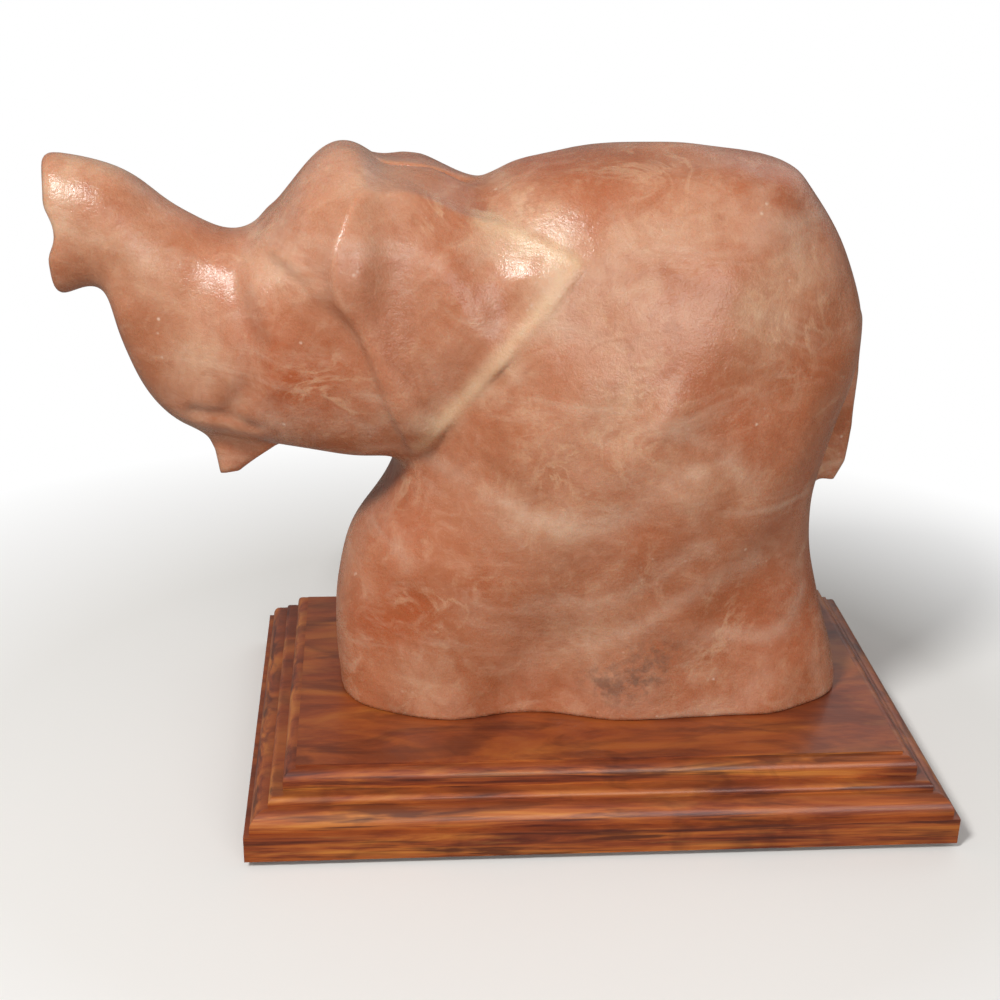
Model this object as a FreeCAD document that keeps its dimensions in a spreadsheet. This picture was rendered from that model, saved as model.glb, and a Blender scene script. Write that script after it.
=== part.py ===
import FreeCAD, Part
import math
import os

import Sketcher
from FreeCAD import Rotation, Vector

# A carved salt lamp: a hollowed elephant of rock salt on a routed wooden base, lit by a small
# bulb whose holder is pushed up through the base and held there by two sprung clips.
#
# Millimetres. X runs along the elephant, from the trunk (-X) to the rump (+X); Y runs across it;
# Z is up. The origin is the middle of the base's outline, at the level the feet stand on.

# Driving sizes, written into the sheet "Dim" and used everywhere through their aliases.
SIZES = [
    # wooden base: a board with a moulding routed round all four sides
    ("base_length", 200),
    ("base_width", 130),
    ("base_thickness", 22),
    ("plinth_height", 8),
    ("ovolo_inset", 1.5),
    ("ovolo_height", 5.4),
    ("ovolo_radius", 4.4),
    ("bead_inset", 6.5),
    ("bead_height", 2.4),
    ("bead_radius", 1.6),
    ("board_inset", 10.5),
    ("board_radius", 2.8),
    ("panel_inset", 14),
    ("panel_rise", 0.8),
    # rubber feet under the base
    ("foot_radius", 7),
    ("foot_height", 2),
    ("foot_bevel", 0.6),
    ("foot_inset", 15),
    # metal ferrule that lines the hole in the base
    ("ferrule_bore", 20.5),
    ("ferrule_wall", 1.2),
    ("ferrule_length", 18),
    ("flange_width", 5.3),
    ("flange_thickness", 1.2),
    ("flange_screw_radius", 1.1),
    ("flange_screw_length", 10),
    ("flange_screw_head", 2.2),
    ("flange_screw_rise", 1.2),
    ("cable_width", 8),
    ("cable_depth", 8),
    # salt elephant
    ("salt_length", 154),
    ("salt_height", 162),
    ("salt_width", 85),
    ("salt_shift", 2),
    ("head_length", 87),
    ("head_width", 68),
    ("neck_setback", 24),
    ("trunk_length", 41),
    ("trunk_width", 29),
    ("ear_length", 63),
    ("ear_height", 68),
    ("ear_spread", 42),
    ("ear_depth", 14),
    ("ear_bevel", 2.4),
    ("lip_width", 15),
    ("tail_width", 8),
    ("tail_proud", 1.5),
    ("nostril_radius", 8),
    ("leg_hollow_width", 32),
    ("leg_hollow_depth", 4.5),
    ("leg_hollow_height", 62),
    ("salt_bore", 20),
    ("salt_bore_depth", 75),
    ("bore_tip_height", 10),
    ("bore_tip_radius", 9),
    # screws and plugs that hold the salt down
    ("salt_screw_radius", 2),
    ("salt_screw_head", 4),
    ("salt_screw_head_height", 2.2),
    ("salt_screw_length", 34),
    ("salt_screw_spread", 48),
    ("salt_screw_offset", 15),
    ("plug_radius", 4),
    ("plug_length", 16),
    # bulb holder
    ("holder_recess", 11),
    ("cap_radius", 14),
    ("cap_height", 14),
    ("cap_wall", 2.4),
    ("cap_floor", 2.5),
    ("cap_bevel", 1),
    ("cord_hole", 3.5),
    ("bracket_thickness", 0.8),
    ("ear_gap", 0.4),
    ("bracket_ear_height", 15.2),
    ("body_spigot", 6),
    ("body_flange", 4.2),
    ("sleeve_radius", 11.5),
    ("sleeve_height", 17),
    ("chamber_depth", 18),
    ("shell_length", 13),
    ("shell_wall", 0.5),
    ("shell_lift", 3),
    ("terminal_length", 5.5),
    ("terminal_width", 6),
    ("terminal_height", 5),
    ("terminal_offset", 4),
    ("stud_radius", 1.2),
    ("contact_thickness", 0.4),
    ("contact_width", 4),
    ("terminal_screw_radius", 1.2),
    ("terminal_screw_head", 2),
    ("terminal_screw_rise", 1.6),
    ("terminal_screw_length", 4),
    # sprung clips
    ("clip_width", 8),
    ("clip_thickness", 0.5),
    ("clip_hook_drop", 3),
    ("clip_bulge_drop", 25),
    ("clip_length", 35),
    ("clip_tab_turn", 1.5),
    # bulb
    ("bulb_radius", 13),
    ("bulb_length", 57),
    ("glass_wall", 0.8),
    ("glass_neck", 5.9),
    ("bulb_cap_radius", 6.7),
    ("bulb_cap_wall", 0.4),
    ("bulb_cap_length", 16.5),
    ("insulator_height", 2.6),
    ("tip_radius", 2.4),
    ("tip_height", 1.1),
    ("stem_length", 14),
    ("stem_radius", 2),
    ("wire_radius", 0.35),
    ("wire_spread", 4),
    ("wire_length", 14),
    ("filament_radius", 0.6),
    # clearances
    ("fit_gap", 0.2),
    ("slide_gap", 0.3),
    ("seat_gap", 0.1),
    ("contact_gap", 0.3),
]

# Where things turn and how finely the carving is drawn (angles in degrees, counts).
FLANGE_SCREWS = 3
FLANGE_SCREW_ANGLE = 30
COUNTERSINK_ANGLE = 90
TORSO_SECTIONS = 20
HEAD_SECTIONS = 20
DOME_STEPS = 6

# The torso from the feet up: height, front, back and half width as shares of the salt's height,
# length (from its middle) and width, then how square its corners are (0.55 is an ellipse).
TORSO = [
    (0.000, -0.497, 0.497, 0.365, 0.80),
    (0.080, -0.498, 0.474, 0.380, 0.78),
    (0.180, -0.485, 0.430, 0.394, 0.74),
    (0.290, -0.462, 0.410, 0.428, 0.70),
    (0.410, -0.404, 0.415, 0.474, 0.67),
    (0.560, -0.375, 0.440, 0.500, 0.66),
    (0.700, -0.360, 0.457, 0.485, 0.65),
    (0.830, -0.330, 0.432, 0.425, 0.64),
    (0.920, -0.262, 0.370, 0.345, 0.63),
    (0.975, -0.140, 0.295, 0.235, 0.62),
    (1.000, 0.020, 0.190, 0.080, 0.60),
]

# The head from the neck to the trunk's root: where the section's top and foot lie along the
# head's length and up the salt's height, then its half width as a share of the head's.
HEAD = [
    (0.00, 0.925, 0.00, 0.560, 0.340),
    (0.30, 0.945, 0.30, 0.468, 0.480),
    (0.58, 1.000, 0.57, 0.468, 0.490),
    (0.78, 0.900, 0.76, 0.480, 0.420),
    (0.92, 0.855, 0.94, 0.498, 0.330),
]

# The raised trunk from its root to its tip, in the same way along the trunk's own length,
# then its half width as a share of the trunk's.
TRUNK = [
    (0.10, 0.880, 0.22, 0.540, 0.600),
    (0.40, 0.940, 0.58, 0.662, 0.500),
    (0.64, 0.968, 0.66, 0.760, 0.450),
    (1.00, 0.976, 0.95, 0.752, 0.400),
]
TRUNK_SQUARENESS = 0.64

# The ear's outline from its upper front corner round by the tip and the low corner: shares of the
# ear's length (backwards), its height (upwards) and how far its face stands from the middle.
EAR = [
    (0.11, 0.97, 0.62),
    (0.26, 0.98, 0.58),
    (0.45, 0.96, 0.58),
    (0.60, 0.92, 0.62),
    (0.77, 0.86, 0.73),
    (0.93, 0.80, 0.84),
    (1.00, 0.75, 0.89),
    (0.89, 0.63, 0.93),
    (0.77, 0.50, 0.94),
    (0.65, 0.36, 0.92),
    (0.51, 0.17, 0.86),
    (0.38, -0.02, 0.76),
    (0.30, -0.08, 0.70),
    (0.18, 0.20, 0.80),
    (0.09, 0.43, 0.85),
    (0.02, 0.62, 0.83),
    (0.04, 0.81, 0.76),
]
EAR_FRONT = 0.57
EAR_LOW = 0.53

# The lower lip and the tail, seen from the side: along the trunk's length from its root, or the
# salt's from its middle, and up the salt's height.
LIP = [(-0.55, 0.50), (0.02, 0.52), (-0.04, 0.47), (-0.06, 0.425), (-0.17, 0.425), (-0.41, 0.47)]
TAIL = [(0.40, 0.66), (0.462, 0.64), (0.466, 0.48), (0.458, 0.43), (0.435, 0.395), (0.38, 0.42)]
# A plate keeps its full outline to this share of its width on each side of its middle, and its
# two faces keep this share of the outline.
PLATE_RIM = 0.22
PLATE_FACE = 0.78
NOSTRIL_HEIGHT = 0.855
NOSTRIL_SETOUT = 0.6
LEG_HOLLOW_PLACE = -0.13

doc = FreeCAD.newDocument("SaltLamp")
sheet = doc.addObject("Spreadsheet::Sheet", "Dim")
for row, (alias, value) in enumerate(SIZES, start=1):
    sheet.set(f"A{row}", alias)
    sheet.set(f"B{row}", str(value))
    sheet.setAlias(f"B{row}", alias)
doc.recompute()

nodes = {}


def size(alias):
    """The sheet's value under this alias."""
    return float(sheet.get(alias))


def node(made, label):
    """Keeps an object as a sub-part of the lamp under its own name."""
    made.Label = label
    nodes[label] = made
    return made


def bind(made, **formulas):
    """Ties properties to the sheet; x, y and z stand for the object's position."""
    for name, formula in formulas.items():
        prop = f"Placement.Base.{name}" if name in ("x", "y", "z") else name
        made.setExpression(prop, formula)
    return made


# ------------------------------------------------------------------ sketches and body features


def origin_feature(body, role):
    return next(f for f in body.Origin.OriginFeatures if f.Role == role)


def new_body(label):
    return node(doc.addObject("PartDesign::Body", label), label)


def new_sketch(body, name, plane="XY_Plane", lift=None):
    """A sketch on one of the body's own origin planes, raised along its normal by a formula."""
    sketch = body.newObject("Sketcher::SketchObject", name)
    sketch.AttachmentSupport = (origin_feature(body, plane), [""])
    sketch.MapMode = "FlatFace"
    if lift:
        sketch.setExpression("AttachmentOffset.Base.z", lift)
    return sketch


def dimension(sketch, start, kind, parts, formula):
    """Adds a dimension that the sketch already meets, then ties it to its formula."""
    number = sketch.addConstraint(Sketcher.Constraint(kind, *parts, start))
    sketch.setExpression(f"Constraints[{number}]", str(formula))


def outline(sketch, corners):
    """A closed outline of straight lines; each corner is a pair of formulas."""
    first = sketch.GeometryCount
    count = len(corners)
    drawn = [Vector(0, 10, 0)]
    for index in range(1, count):
        turn = math.radians(360 * index / count)
        drawn.append(Vector(10 * math.sin(turn), 10 * math.cos(turn), 0))
    for index in range(count):
        line = Part.LineSegment(drawn[index], drawn[(index + 1) % count])
        sketch.addGeometry(line, False)
    for index in range(count):
        following = first + (index + 1) % count
        joint = Sketcher.Constraint("Coincident", first + index, 2, following, 1)
        sketch.addConstraint(joint)
    for index, (across, up) in enumerate(corners):
        point = (-1, 1, first + index, 1)
        dimension(sketch, drawn[index].x, "DistanceX", point, across)
        dimension(sketch, drawn[index].y, "DistanceY", point, up)


def rectangle(sketch, half_across, half_up):
    """A rectangle round the sketch's origin."""
    low_x, high_x = f"-({half_across})", half_across
    low_y, high_y = f"-({half_up})", half_up
    outline(sketch, [(low_x, low_y), (high_x, low_y), (high_x, high_y), (low_x, high_y)])


def circle(sketch, radius, across="0", up="0"):
    """A circle whose radius and centre are formulas."""
    drawn = sketch.addGeometry(Part.Circle(Vector(5, 5, 0), Vector(0, 0, 1), 3), False)
    dimension(sketch, 3, "Radius", (drawn,), radius)
    dimension(sketch, 5, "DistanceX", (-1, 1, drawn, 3), across)
    dimension(sketch, 5, "DistanceY", (-1, 1, drawn, 3), up)


def pad(body, name, sketch, length):
    made = body.newObject("PartDesign::Pad", name)
    made.Profile = sketch
    return bind(made, Length=length)


def pocket(body, name, sketch, length, upward=False):
    """Cuts the sketch's outline out of the body, downwards unless it is told otherwise."""
    made = body.newObject("PartDesign::Pocket", name)
    made.Profile = sketch
    made.Reversed = upward
    return bind(made, Length=length)


def turned(label, corners):
    """A piece turned about its Z axis; its half section's corners are (radius, height)."""
    body = new_body(label)
    section = new_sketch(body, f"{label}_section", "XZ_Plane")
    outline(section, corners)
    made = body.newObject("PartDesign::Revolution", f"{label}_turning")
    made.Profile = section
    made.ReferenceAxis = (section, ["V_Axis"])
    made.Angle = 360
    return body


def ring_pattern(body, name, feature, count):
    """Repeats a cut round the body's Z axis."""
    made = body.newObject("PartDesign::PolarPattern", name)
    made.Originals = [feature]
    made.Axis = (origin_feature(body, "Z_Axis"), [""])
    made.Angle = 360
    made.Occurrences = count
    body.Tip = made
    return made


# ------------------------------------------------------------------ primitives and booleans


def cylinder(name, radius, height, **place):
    made = doc.addObject("Part::Cylinder", name)
    return bind(made, Radius=radius, Height=height, **place)


def cone(name, low_radius, high_radius, height, **place):
    made = doc.addObject("Part::Cone", name)
    return bind(made, Radius1=low_radius, Radius2=high_radius, Height=height, **place)


def box(name, length, width, height, **place):
    made = doc.addObject("Part::Box", name)
    return bind(made, Length=length, Width=width, Height=height, **place)


def fused(name, shapes):
    made = doc.addObject("Part::MultiFuse", name)
    made.Shapes = shapes
    return made


def cut(name, base, tool):
    made = doc.addObject("Part::Cut", name)
    made.Base = base
    made.Tool = tool
    return made


def compound(label, shapes):
    made = doc.addObject("Part::Compound", label)
    made.Links = shapes
    return node(made, label)


def drawn(name, shape):
    """A form that no single feature makes, drawn with curves worked out from the sheet."""
    made = doc.addObject("Part::Feature", name)
    made.Shape = shape
    return made


# ------------------------------------------------------------------ wooden base

BASE_TOP = "Dim.foot_height + Dim.base_thickness"
TRUNK_TIP = "Dim.salt_shift - Dim.neck_setback - Dim.head_length - Dim.trunk_length"
FERRULE_OUTER = "Dim.ferrule_bore + Dim.ferrule_wall"
FLANGE_RADIUS = f"{FERRULE_OUTER} + Dim.flange_width"
SCREW_CIRCLE = f"{FERRULE_OUTER} + Dim.flange_width / 2"
CUTTER_OVERRUN = "5"
TOUCH = 1e-6
SCREW_CORNERS = [(-1, -1), (1, -1), (1, 1), (-1, 1)]


def edges_at(shape, height, half_length):
    """Names of the four edges round the top of a step of the moulding."""
    found = []
    for number, edge in enumerate(shape.Edges, start=1):
        ends = [vertex.Point for vertex in edge.Vertexes]
        level = all(abs(end.z - height) < TOUCH for end in ends)
        corners = all(abs(abs(end.x) - half_length) < TOUCH for end in ends)
        if level and corners:
            found.append(f"Edge{number}")
    return found


def make_base():
    body = new_body("wooden_base")
    blank = new_sketch(body, "base_outline")
    rectangle(blank, "Dim.base_length / 2", "Dim.base_width / 2")
    pad(body, "base_blank", blank, "Dim.base_thickness")

    # Each pass of the router takes a rebate from all four sides, the outermost the deepest.
    shoulder = "Dim.plinth_height + Dim.ovolo_height"
    passes = [
        ("ovolo", "Dim.ovolo_inset", "Dim.plinth_height"),
        ("bead", "Dim.bead_inset", shoulder),
        ("board", "Dim.board_inset", f"{shoulder} + Dim.bead_height"),
        ("panel", "Dim.panel_inset", "Dim.base_thickness - Dim.panel_rise"),
    ]
    for name, inset, floor in passes:
        ring = new_sketch(body, f"{name}_rebate", lift="Dim.base_thickness")
        rectangle(
            ring,
            f"Dim.base_length / 2 + {CUTTER_OVERRUN}",
            f"Dim.base_width / 2 + {CUTTER_OVERRUN}",
        )
        rectangle(ring, f"Dim.base_length / 2 - {inset}", f"Dim.base_width / 2 - {inset}")
        pocket(body, f"{name}_pass", ring, f"Dim.base_thickness - ({floor})")
    doc.recompute()

    # The upper arris of each step is rounded.
    rounds = [
        ("ovolo", "ovolo_inset", size("plinth_height") + size("ovolo_height")),
        ("bead", "bead_inset", size("plinth_height") + size("ovolo_height") + size("bead_height")),
        ("board", "board_inset", size("base_thickness") - size("panel_rise")),
    ]
    for name, inset, height in rounds:
        step = body.Tip
        half_length = size("base_length") / 2 - size(inset)
        soft = body.newObject("PartDesign::Fillet", f"{name}_round")
        soft.Base = (step, edges_at(step.Shape, height, half_length))
        bind(soft, Radius=f"Dim.{name}_radius")
        doc.recompute()

    # Underside: the ferrule's hole and seat, and the groove that lets the cable out at the back.
    hole = new_sketch(body, "ferrule_hole_outline")
    circle(hole, f"{FERRULE_OUTER} + Dim.fit_gap")
    pocket(body, "ferrule_hole", hole, "Dim.base_thickness", upward=True)
    seat = new_sketch(body, "flange_seat_outline")
    circle(seat, f"{FLANGE_RADIUS} + Dim.slide_gap")
    pocket(body, "flange_seat", seat, "Dim.flange_thickness + Dim.seat_gap", upward=True)
    groove = new_sketch(body, "cable_groove_outline")
    half = "Dim.cable_width / 2"
    back = f"Dim.base_width / 2 + {CUTTER_OVERRUN}"
    outline(groove, [(f"-{half}", "0"), (half, "0"), (half, back), (f"-{half}", back)])
    pocket(body, "cable_groove", groove, "Dim.cable_depth", upward=True)

    pilot = new_sketch(body, "flange_pilot_outline")
    across = f"({SCREW_CIRCLE}) * cos({FLANGE_SCREW_ANGLE} deg)"
    along = f"({SCREW_CIRCLE}) * sin({FLANGE_SCREW_ANGLE} deg)"
    circle(pilot, "Dim.flange_screw_radius + Dim.seat_gap", across, along)
    depth = "Dim.flange_thickness + Dim.flange_screw_length + Dim.seat_gap"
    first = pocket(body, "flange_pilot", pilot, depth, upward=True)
    ring_pattern(body, "flange_pilots", first, FLANGE_SCREWS)
    doc.recompute()

    # Countersunk clearance holes for the four screws that hold the salt.
    spots = new_sketch(body, "salt_screw_spots")
    for side, front in SCREW_CORNERS:
        circle(
            spots,
            "Dim.salt_screw_radius",
            f"Dim.salt_shift + {side} * Dim.salt_screw_spread",
            f"{front} * Dim.salt_screw_offset",
        )
    doc.recompute()
    holes = body.newObject("PartDesign::Hole", "salt_screw_holes")
    holes.Profile = spots
    holes.Reversed = True
    holes.DepthType = "ThroughAll"
    holes.HoleCutType = "Countersink"
    holes.HoleCutCountersinkAngle = COUNTERSINK_ANGLE
    bind(
        holes,
        Diameter="2 * (Dim.salt_screw_radius + Dim.slide_gap)",
        HoleCutDiameter="2 * (Dim.salt_screw_head + Dim.slide_gap)",
    )
    body.Tip = holes
    bind(body, z="Dim.foot_height")


def make_feet():
    """Four rubber pads, one near each corner."""
    names = {(-1, -1): "front_left", (1, -1): "front_right", (1, 1): "rear_right", (-1, 1): "rear_left"}
    radius = "Dim.foot_radius"
    section = [
        ("0", "0"),
        (f"{radius} - Dim.foot_bevel", "0"),
        (radius, "Dim.foot_bevel"),
        (radius, "Dim.foot_height"),
        ("0", "Dim.foot_height"),
    ]
    for side, front in SCREW_CORNERS:
        foot = turned(f"foot_{names[side, front]}", section)
        bind(
            foot,
            x=f"{side} * (Dim.base_length / 2 - Dim.foot_inset)",
            y=f"{front} * (Dim.base_width / 2 - Dim.foot_inset)",
        )


def make_ferrule():
    bore, outer, flange = "Dim.ferrule_bore", FERRULE_OUTER, FLANGE_RADIUS
    section = [
        (bore, "0"),
        (flange, "0"),
        (flange, "Dim.flange_thickness"),
        (outer, "Dim.flange_thickness"),
        (outer, "Dim.ferrule_length"),
        (bore, "Dim.ferrule_length"),
    ]
    body = turned("base_ferrule", section)
    notch = new_sketch(body, "cable_notch_outline")
    half = "Dim.cable_width / 2"
    far = f"{flange} + {CUTTER_OVERRUN}"
    outline(notch, [(f"-{half}", "0"), (half, "0"), (half, far), (f"-{half}", far)])
    pocket(body, "cable_notch", notch, "Dim.cable_depth", upward=True)
    hole = new_sketch(body, "flange_hole_outline")
    across = f"({SCREW_CIRCLE}) * cos({FLANGE_SCREW_ANGLE} deg)"
    along = f"({SCREW_CIRCLE}) * sin({FLANGE_SCREW_ANGLE} deg)"
    circle(hole, "Dim.flange_screw_radius + Dim.seat_gap", across, along)
    first = pocket(body, "flange_hole", hole, "Dim.flange_thickness", upward=True)
    ring_pattern(body, "flange_holes", first, FLANGE_SCREWS)
    bind(body, z="Dim.foot_height")


def make_flange_screws():
    screws = []
    for index in range(FLANGE_SCREWS):
        angle = FLANGE_SCREW_ANGLE + index * 360 / FLANGE_SCREWS
        place = {
            "x": f"({SCREW_CIRCLE}) * cos({angle} deg)",
            "y": f"({SCREW_CIRCLE}) * sin({angle} deg)",
        }
        head = cylinder(
            f"flange_screw_head_{index}",
            "Dim.flange_screw_head",
            "Dim.flange_screw_rise",
            z="Dim.foot_height - Dim.flange_screw_rise",
            **place,
        )
        shank = cylinder(
            f"flange_screw_shank_{index}",
            "Dim.flange_screw_radius",
            "Dim.flange_screw_length",
            z="Dim.foot_height",
            **place,
        )
        screws.append(fused(f"flange_screw_{index}", [head, shank]))
    compound("ferrule_screws", screws)


def make_salt_fixings():
    """Countersunk screws up through the base into plugs set in the salt."""
    screws, plugs = [], []
    for index, (side, front) in enumerate(SCREW_CORNERS):
        place = {
            "x": f"Dim.salt_shift + {side} * Dim.salt_screw_spread",
            "y": f"{front} * Dim.salt_screw_offset",
        }
        head = cone(
            f"salt_screw_head_{index}",
            "Dim.salt_screw_head",
            "Dim.salt_screw_radius",
            "Dim.salt_screw_head_height",
            z="Dim.foot_height",
            **place,
        )
        shank = cylinder(
            f"salt_screw_shank_{index}",
            "Dim.salt_screw_radius",
            "Dim.salt_screw_length",
            z="Dim.foot_height",
            **place,
        )
        screws.append(fused(f"salt_screw_{index}", [head, shank]))
        plug = cylinder(f"plug_body_{index}", "Dim.plug_radius", "Dim.plug_length", z=BASE_TOP, **place)
        bore = cylinder(
            f"plug_bore_{index}",
            "Dim.salt_screw_radius + Dim.seat_gap",
            "Dim.salt_screw_length - Dim.base_thickness + Dim.slide_gap",
            z=BASE_TOP,
            **place,
        )
        plugs.append(cut(f"plug_{index}", plug, bore))
    compound("salt_screws", screws)
    compound("salt_plugs", plugs)


# ------------------------------------------------------------------ salt elephant


def smoothed(rows, count):
    """Evenly spaced rows on a smooth curve through the given ones."""
    reach = [0.0]
    for before, after in zip(rows, rows[1:]):
        reach.append(reach[-1] + math.dist(before, after))
    curves = []
    for column in range(len(rows[0])):
        curve = Part.BSplineCurve()
        values = [Vector(along, row[column], 0) for along, row in zip(reach, rows)]
        curve.interpolate(Points=values, Parameters=reach)
        curves.append(curve)
    steps = [reach[-1] * index / (count - 1) for index in range(count)]
    return [tuple(curve.value(step).y for curve in curves) for step in steps]


def round_section(centre, across, up, squareness):
    """A closed section of four quarter curves; across and up are its half axes."""
    quarter = [(1, 0), (1, squareness), (squareness, 1), (0, 1)]
    edges = []
    for _ in range(4):
        curve = Part.BezierCurve()
        curve.setPoles([centre + across * a + up * b for a, b in quarter])
        edges.append(curve.toShape())
        quarter = [(-b, a) for a, b in quarter]
    return Part.Wire(edges)


def loft(wires):
    """A solid whose skin runs straight from each section to the next."""
    return Part.makeLoft(wires, True, True)


def side_profile(points, width):
    """A plate cut to an outline seen from the side, centred on Y = 0 and drawn in at its two faces."""
    middle_x = sum(x for x, _ in points) / len(points)
    middle_z = sum(z for _, z in points) / len(points)
    wires = []
    for out, kept in ((-0.5, PLATE_FACE), (-PLATE_RIM, 1), (PLATE_RIM, 1), (0.5, PLATE_FACE)):
        corners = [
            Vector(middle_x + (x - middle_x) * kept, out * width, middle_z + (z - middle_z) * kept)
            for x, z in points
        ]
        wires.append(Part.makePolygon(corners + corners[:1]))
    return loft(wires)


def make_torso():
    length, height = size("salt_length"), size("salt_height")
    wires = []
    for rise, front, back, half_width, squareness in smoothed(TORSO, TORSO_SECTIONS):
        middle = size("salt_shift") + length * (front + back) / 2
        centre = Vector(middle, 0, salt_floor + height * rise)
        across = Vector(length * (back - front) / 2, 0, 0)
        up = Vector(0, size("salt_width") * half_width, 0)
        wires.append(round_section(centre, across, up, squareness))
    return drawn("torso", loft(wires))


def make_head():
    height = size("salt_height")
    rows = []
    for top_along, top_up, foot_along, foot_up, half_width in HEAD:
        top_x = neck - size("head_length") * top_along
        foot_x = neck - size("head_length") * foot_along
        half = size("head_width") * half_width
        rows.append((top_x, height * top_up, foot_x, height * foot_up, half))
    for top_along, top_up, foot_along, foot_up, half_width in TRUNK:
        top_x = trunk_root - size("trunk_length") * top_along
        foot_x = trunk_root - size("trunk_length") * foot_along
        half = size("trunk_width") * half_width
        rows.append((top_x, height * top_up, foot_x, height * foot_up, half))
    wires = []
    for top_x, top_z, foot_x, foot_z, half in smoothed(rows, HEAD_SECTIONS):
        centre = Vector((top_x + foot_x) / 2, 0, salt_floor + (top_z + foot_z) / 2)
        across = Vector((top_x - foot_x) / 2, 0, (top_z - foot_z) / 2)
        wires.append(round_section(centre, across, Vector(0, half, 0), TRUNK_SQUARENESS))
    return drawn("head_and_trunk", loft(wires))


def make_ear(side):
    """A flap that follows the head and stands off the shoulder; side is -1 or 1."""
    front = neck - size("head_length") * EAR_FRONT
    low = salt_floor + size("salt_height") * EAR_LOW
    middle_along = sum(along for along, _, _ in EAR) / len(EAR)
    middle_up = sum(up for _, up, _ in EAR) / len(EAR)

    def ring(inset, depth):
        """The outline drawn in on all sides, this deep under the face."""
        kept = 1 - 2 * inset / size("ear_height")
        corners = []
        for along, up, out in EAR:
            x = front + size("ear_length") * (middle_along + (along - middle_along) * kept)
            z = low + size("ear_height") * (middle_up + (up - middle_up) * kept)
            corners.append(Vector(x, side * (size("ear_spread") * out - depth), z))
        return corners

    bevel, depth = size("ear_bevel"), size("ear_depth")
    rings = [ring(2 * bevel, depth), ring(0, bevel), ring(bevel, 0)]
    wires = [Part.makePolygon(corners + corners[:1]) for corners in rings]
    ends = [Part.Vertex(sum(corners, Vector()) / len(corners)) for corners in (rings[0], rings[-1])]
    name = "ear_near" if side < 0 else "ear_far"
    return drawn(name, loft([ends[0], *wires, ends[1]]))


def make_lip():
    points = [
        (trunk_root - size("trunk_length") * along, salt_floor + size("salt_height") * up)
        for along, up in LIP
    ]
    return drawn("lower_lip", side_profile(points, size("lip_width")))


def make_tail():
    points = [
        (size("salt_shift") + size("salt_length") * along, salt_floor + size("salt_height") * up)
        for along, up in TAIL
    ]
    proud = [(x + size("tail_proud"), z) if x > points[0][0] else (x, z) for x, z in points]
    return drawn("tail", side_profile(proud, size("tail_width")))


def make_salt():
    lumps = [make_torso(), make_head(), make_ear(-1), make_ear(1), make_lip(), make_tail()]
    block = fused("carved_block", lumps)

    # The hole drilled up from below for the bulb, and the holes for the screws' plugs.
    tip_base = f"{BASE_TOP} + Dim.salt_bore_depth"
    tools = [
        cylinder("bulb_bore", "Dim.salt_bore", "Dim.salt_bore_depth", z=BASE_TOP),
        cone("bulb_bore_tip", "Dim.salt_bore", "Dim.bore_tip_radius", "Dim.bore_tip_height", z=tip_base),
    ]
    for index, (side, front) in enumerate(SCREW_CORNERS):
        tools.append(
            cylinder(
                f"plug_hole_{index}",
                "Dim.plug_radius + Dim.seat_gap",
                "Dim.plug_length + Dim.seat_gap",
                x=f"Dim.salt_shift + {side} * Dim.salt_screw_spread",
                y=f"{front} * Dim.salt_screw_offset",
                z=BASE_TOP,
            )
        )

    # A hollow that fades out up each flank parts the fore leg from the hind leg.
    half_width = f"{TORSO[0][3]} * Dim.salt_width"
    depth = "Dim.leg_hollow_depth"
    radius = f"Dim.leg_hollow_width * Dim.leg_hollow_width / (8 * {depth}) + {depth} / 2"
    for side in (-1, 1):
        name = f"leg_hollow_{'near' if side < 0 else 'far'}"
        tools.append(
            cone(
                name,
                radius,
                f"{radius} - (Dim.salt_width / 2 - {half_width} + {depth})",
                "Dim.leg_hollow_height",
                x=f"Dim.salt_shift + {LEG_HOLLOW_PLACE} * Dim.salt_length",
                y=f"{side} * ({half_width} + {radius} - {depth})",
                z=BASE_TOP,
            )
        )

    # The open end of the trunk is hollowed across, so that its lips stand apart.
    nostril = cylinder(
        "nostril",
        "Dim.nostril_radius",
        "Dim.trunk_width",
        x=f"{TRUNK_TIP} - {NOSTRIL_SETOUT} * Dim.nostril_radius",
        y="Dim.trunk_width / 2",
        z=f"{BASE_TOP} + {NOSTRIL_HEIGHT} * Dim.salt_height",
    )
    nostril.Placement.Rotation = Rotation(Vector(1, 0, 0), 90)
    tools.append(nostril)
    node(cut("salt_elephant", block, fused("carving_tools", tools)), "salt_elephant")


# ------------------------------------------------------------------ bulb holder

# Heights measured from the cap's underside, which the holder's own recess lifts off the table.
CAP_TOP = "Dim.cap_height"
CAP_INNER = "Dim.cap_radius - Dim.cap_wall"
FLANGE_FOOT = f"{CAP_TOP} + Dim.bracket_thickness"
FLANGE_TOP = f"{FLANGE_FOOT} + Dim.body_flange"
SLEEVE_TOP = f"{FLANGE_TOP} + Dim.sleeve_height"
SPIGOT_FOOT = f"{CAP_TOP} - Dim.body_spigot"
CHAMBER_FLOOR = f"{SLEEVE_TOP} - Dim.chamber_depth"
SHELL_BORE = "Dim.bulb_cap_radius + Dim.contact_gap"
SHELL_OUTER = f"{SHELL_BORE} + Dim.shell_wall"
CHAMBER = f"{SHELL_OUTER} + Dim.contact_gap"
TERMINAL_MIDDLE = "Dim.terminal_offset + Dim.terminal_length / 2"
EAR_INNER = "Dim.cap_radius + Dim.ear_gap"
EAR_OUTER = f"{EAR_INNER} + Dim.bracket_thickness"
EAR_TOP = f"{FLANGE_FOOT} + Dim.bracket_ear_height"
ON_HOLDER = "Dim.holder_recess"


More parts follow.
